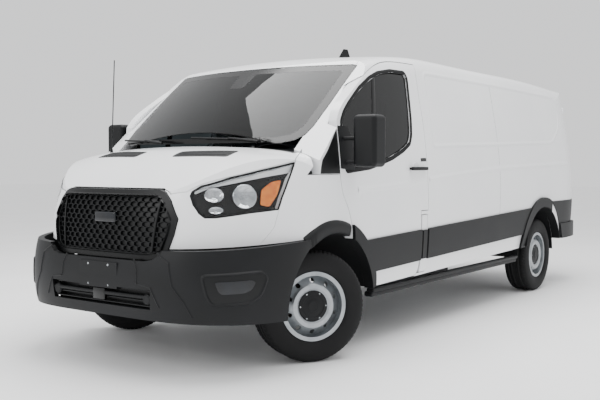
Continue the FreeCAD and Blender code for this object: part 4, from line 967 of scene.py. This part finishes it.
# %% Plate pad, lamp and step
plate_back = fan(loop([(-600, 930), (-280, 930), (-280, 1090), (-600, 1090)], 80, 3), 6)
plate_back = press(at(6000, plate_back[..., 0], plate_back[..., 1]), ["rear_door_right"], BEHIND, 1.5)
build("rear_plate_pad", slab(plate_back, (0.003, 0, 0), wrap=True), "rear_door_right", TRIM)
high = press(at(6000, 0, 2020)[None], ["roof_panel"], BEHIND)[0, 0]
high = (NOSE - high) * 1000
build("high_brake_lamp", block((high - 4, -150, 2008), (high + 10, 150, 2034), 5), "van_body", RED)
steps = [strip(at(np.full(40, 5938 + 9 * k), np.linspace(-800, 800, 40), 0), 4, 2.0, ["rear_bumper"], ABOVE,
               closed=False) for k in range(4)]
build("rear_step_ribs", joined(*steps), "van_body", TRIM)
glow = [block((5976, y, 560), (5980.5, y + 90, 584), 2) for y in (-820, 730)]
build("rear_reflectors", joined(*glow), "van_body", RED)


# %% [markdown]
# ## Seats
# A seat cushion is a crowned, closed form whose sides pull in between its corners. The formula is a
# super-ellipsoid: powers of sine and cosine flatten the middle, and a cosine across the pad presses
# sewn channels.


# %% Pads
def pad(low, high, power=0.35, lean=0.0, channels=0):
    """Super-ellipsoid pad between two corners (mm), leaning back by lean mm per mm of height."""
    u = np.linspace(-np.pi / 2, np.pi / 2, 40)[:, None]
    v = np.linspace(0, 2 * np.pi, 96, endpoint=False)[None, :]

    def soft(w):
        return np.sign(w) * np.abs(w) ** power

    x, y = soft(np.cos(u)) * soft(np.cos(v)), soft(np.cos(u)) * soft(np.sin(v))
    z = soft(np.sin(u)) * np.ones_like(v)
    low, high = np.array(low, float), np.array(high, float)
    centre, half = (low + high) / 2, (high - low) / 2
    s = centre[0] + x * half[0] + lean * (z * half[2])
    groove = 1 - 0.035 * np.abs(np.cos(y * np.pi * channels / 2)) ** 14 if channels else 1.0
    return surface(at(s, centre[1] + y * half[1], centre[2] + z * half[2] * groove), wrap_columns=True)


for side, y in (("left", 440), ("right", -440)):
    pads = joined(pad((1856, y - 244, 862), (2350, y + 244, 976), channels=4),
                  pad((2320, y - 236, 1000), (2450, y + 236, 1560), lean=0.16, channels=0),
                  pad((2404, y - 126, 1594), (2496, y + 126, 1776), 0.5))
    seat = build("seat_pads_" + side, pads, "van_body", CLOTH)
    frame_parts = joined(block((1960, y - 198, 642), (2330, y + 198, 866), 14),
                         *[tube(run([at(2450, y + d, 1520), at(2450, y + d, 1625)], 6), 0.008)
                           for d in (-60, 60)])
    build("seat_base_" + side, frame_parts, "van_body", CABIN)
    if side == "right":
        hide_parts("front_seats")

# %% [markdown]
# ## Dashboard details
# A hooded instrument panel, a middle screen and four round vents, so that the cab does not look
# empty through the glass.

# %% Dashboard
arch = np.linspace(0, np.pi, 40)[None, :]
deep = np.linspace(0, 1, 8)[:, None]
hood = at(1200 + 190 * deep, 420 + 190 * np.cos(arch) * np.ones_like(deep),
          1335 + 62 * np.sin(arch) * (1 - 0.2 * deep))
build("instrument_hood", slab(hood, (0, 0, -0.006)), "van_body", CABIN)
build("middle_screen", block((1372, -110, 1302), (1398, 110, 1402), 8), "van_body", SCREENS)
vents = [turned([(0, 4), (26, 4), (34, 7), (38, 2), (38, -8), (0, -10)], at(1400, y, 1255), BEHIND, 48)
         for y in (-740, -230, 230, 740)]
build("dash_vents", joined(*vents), "van_body", GLOSS)
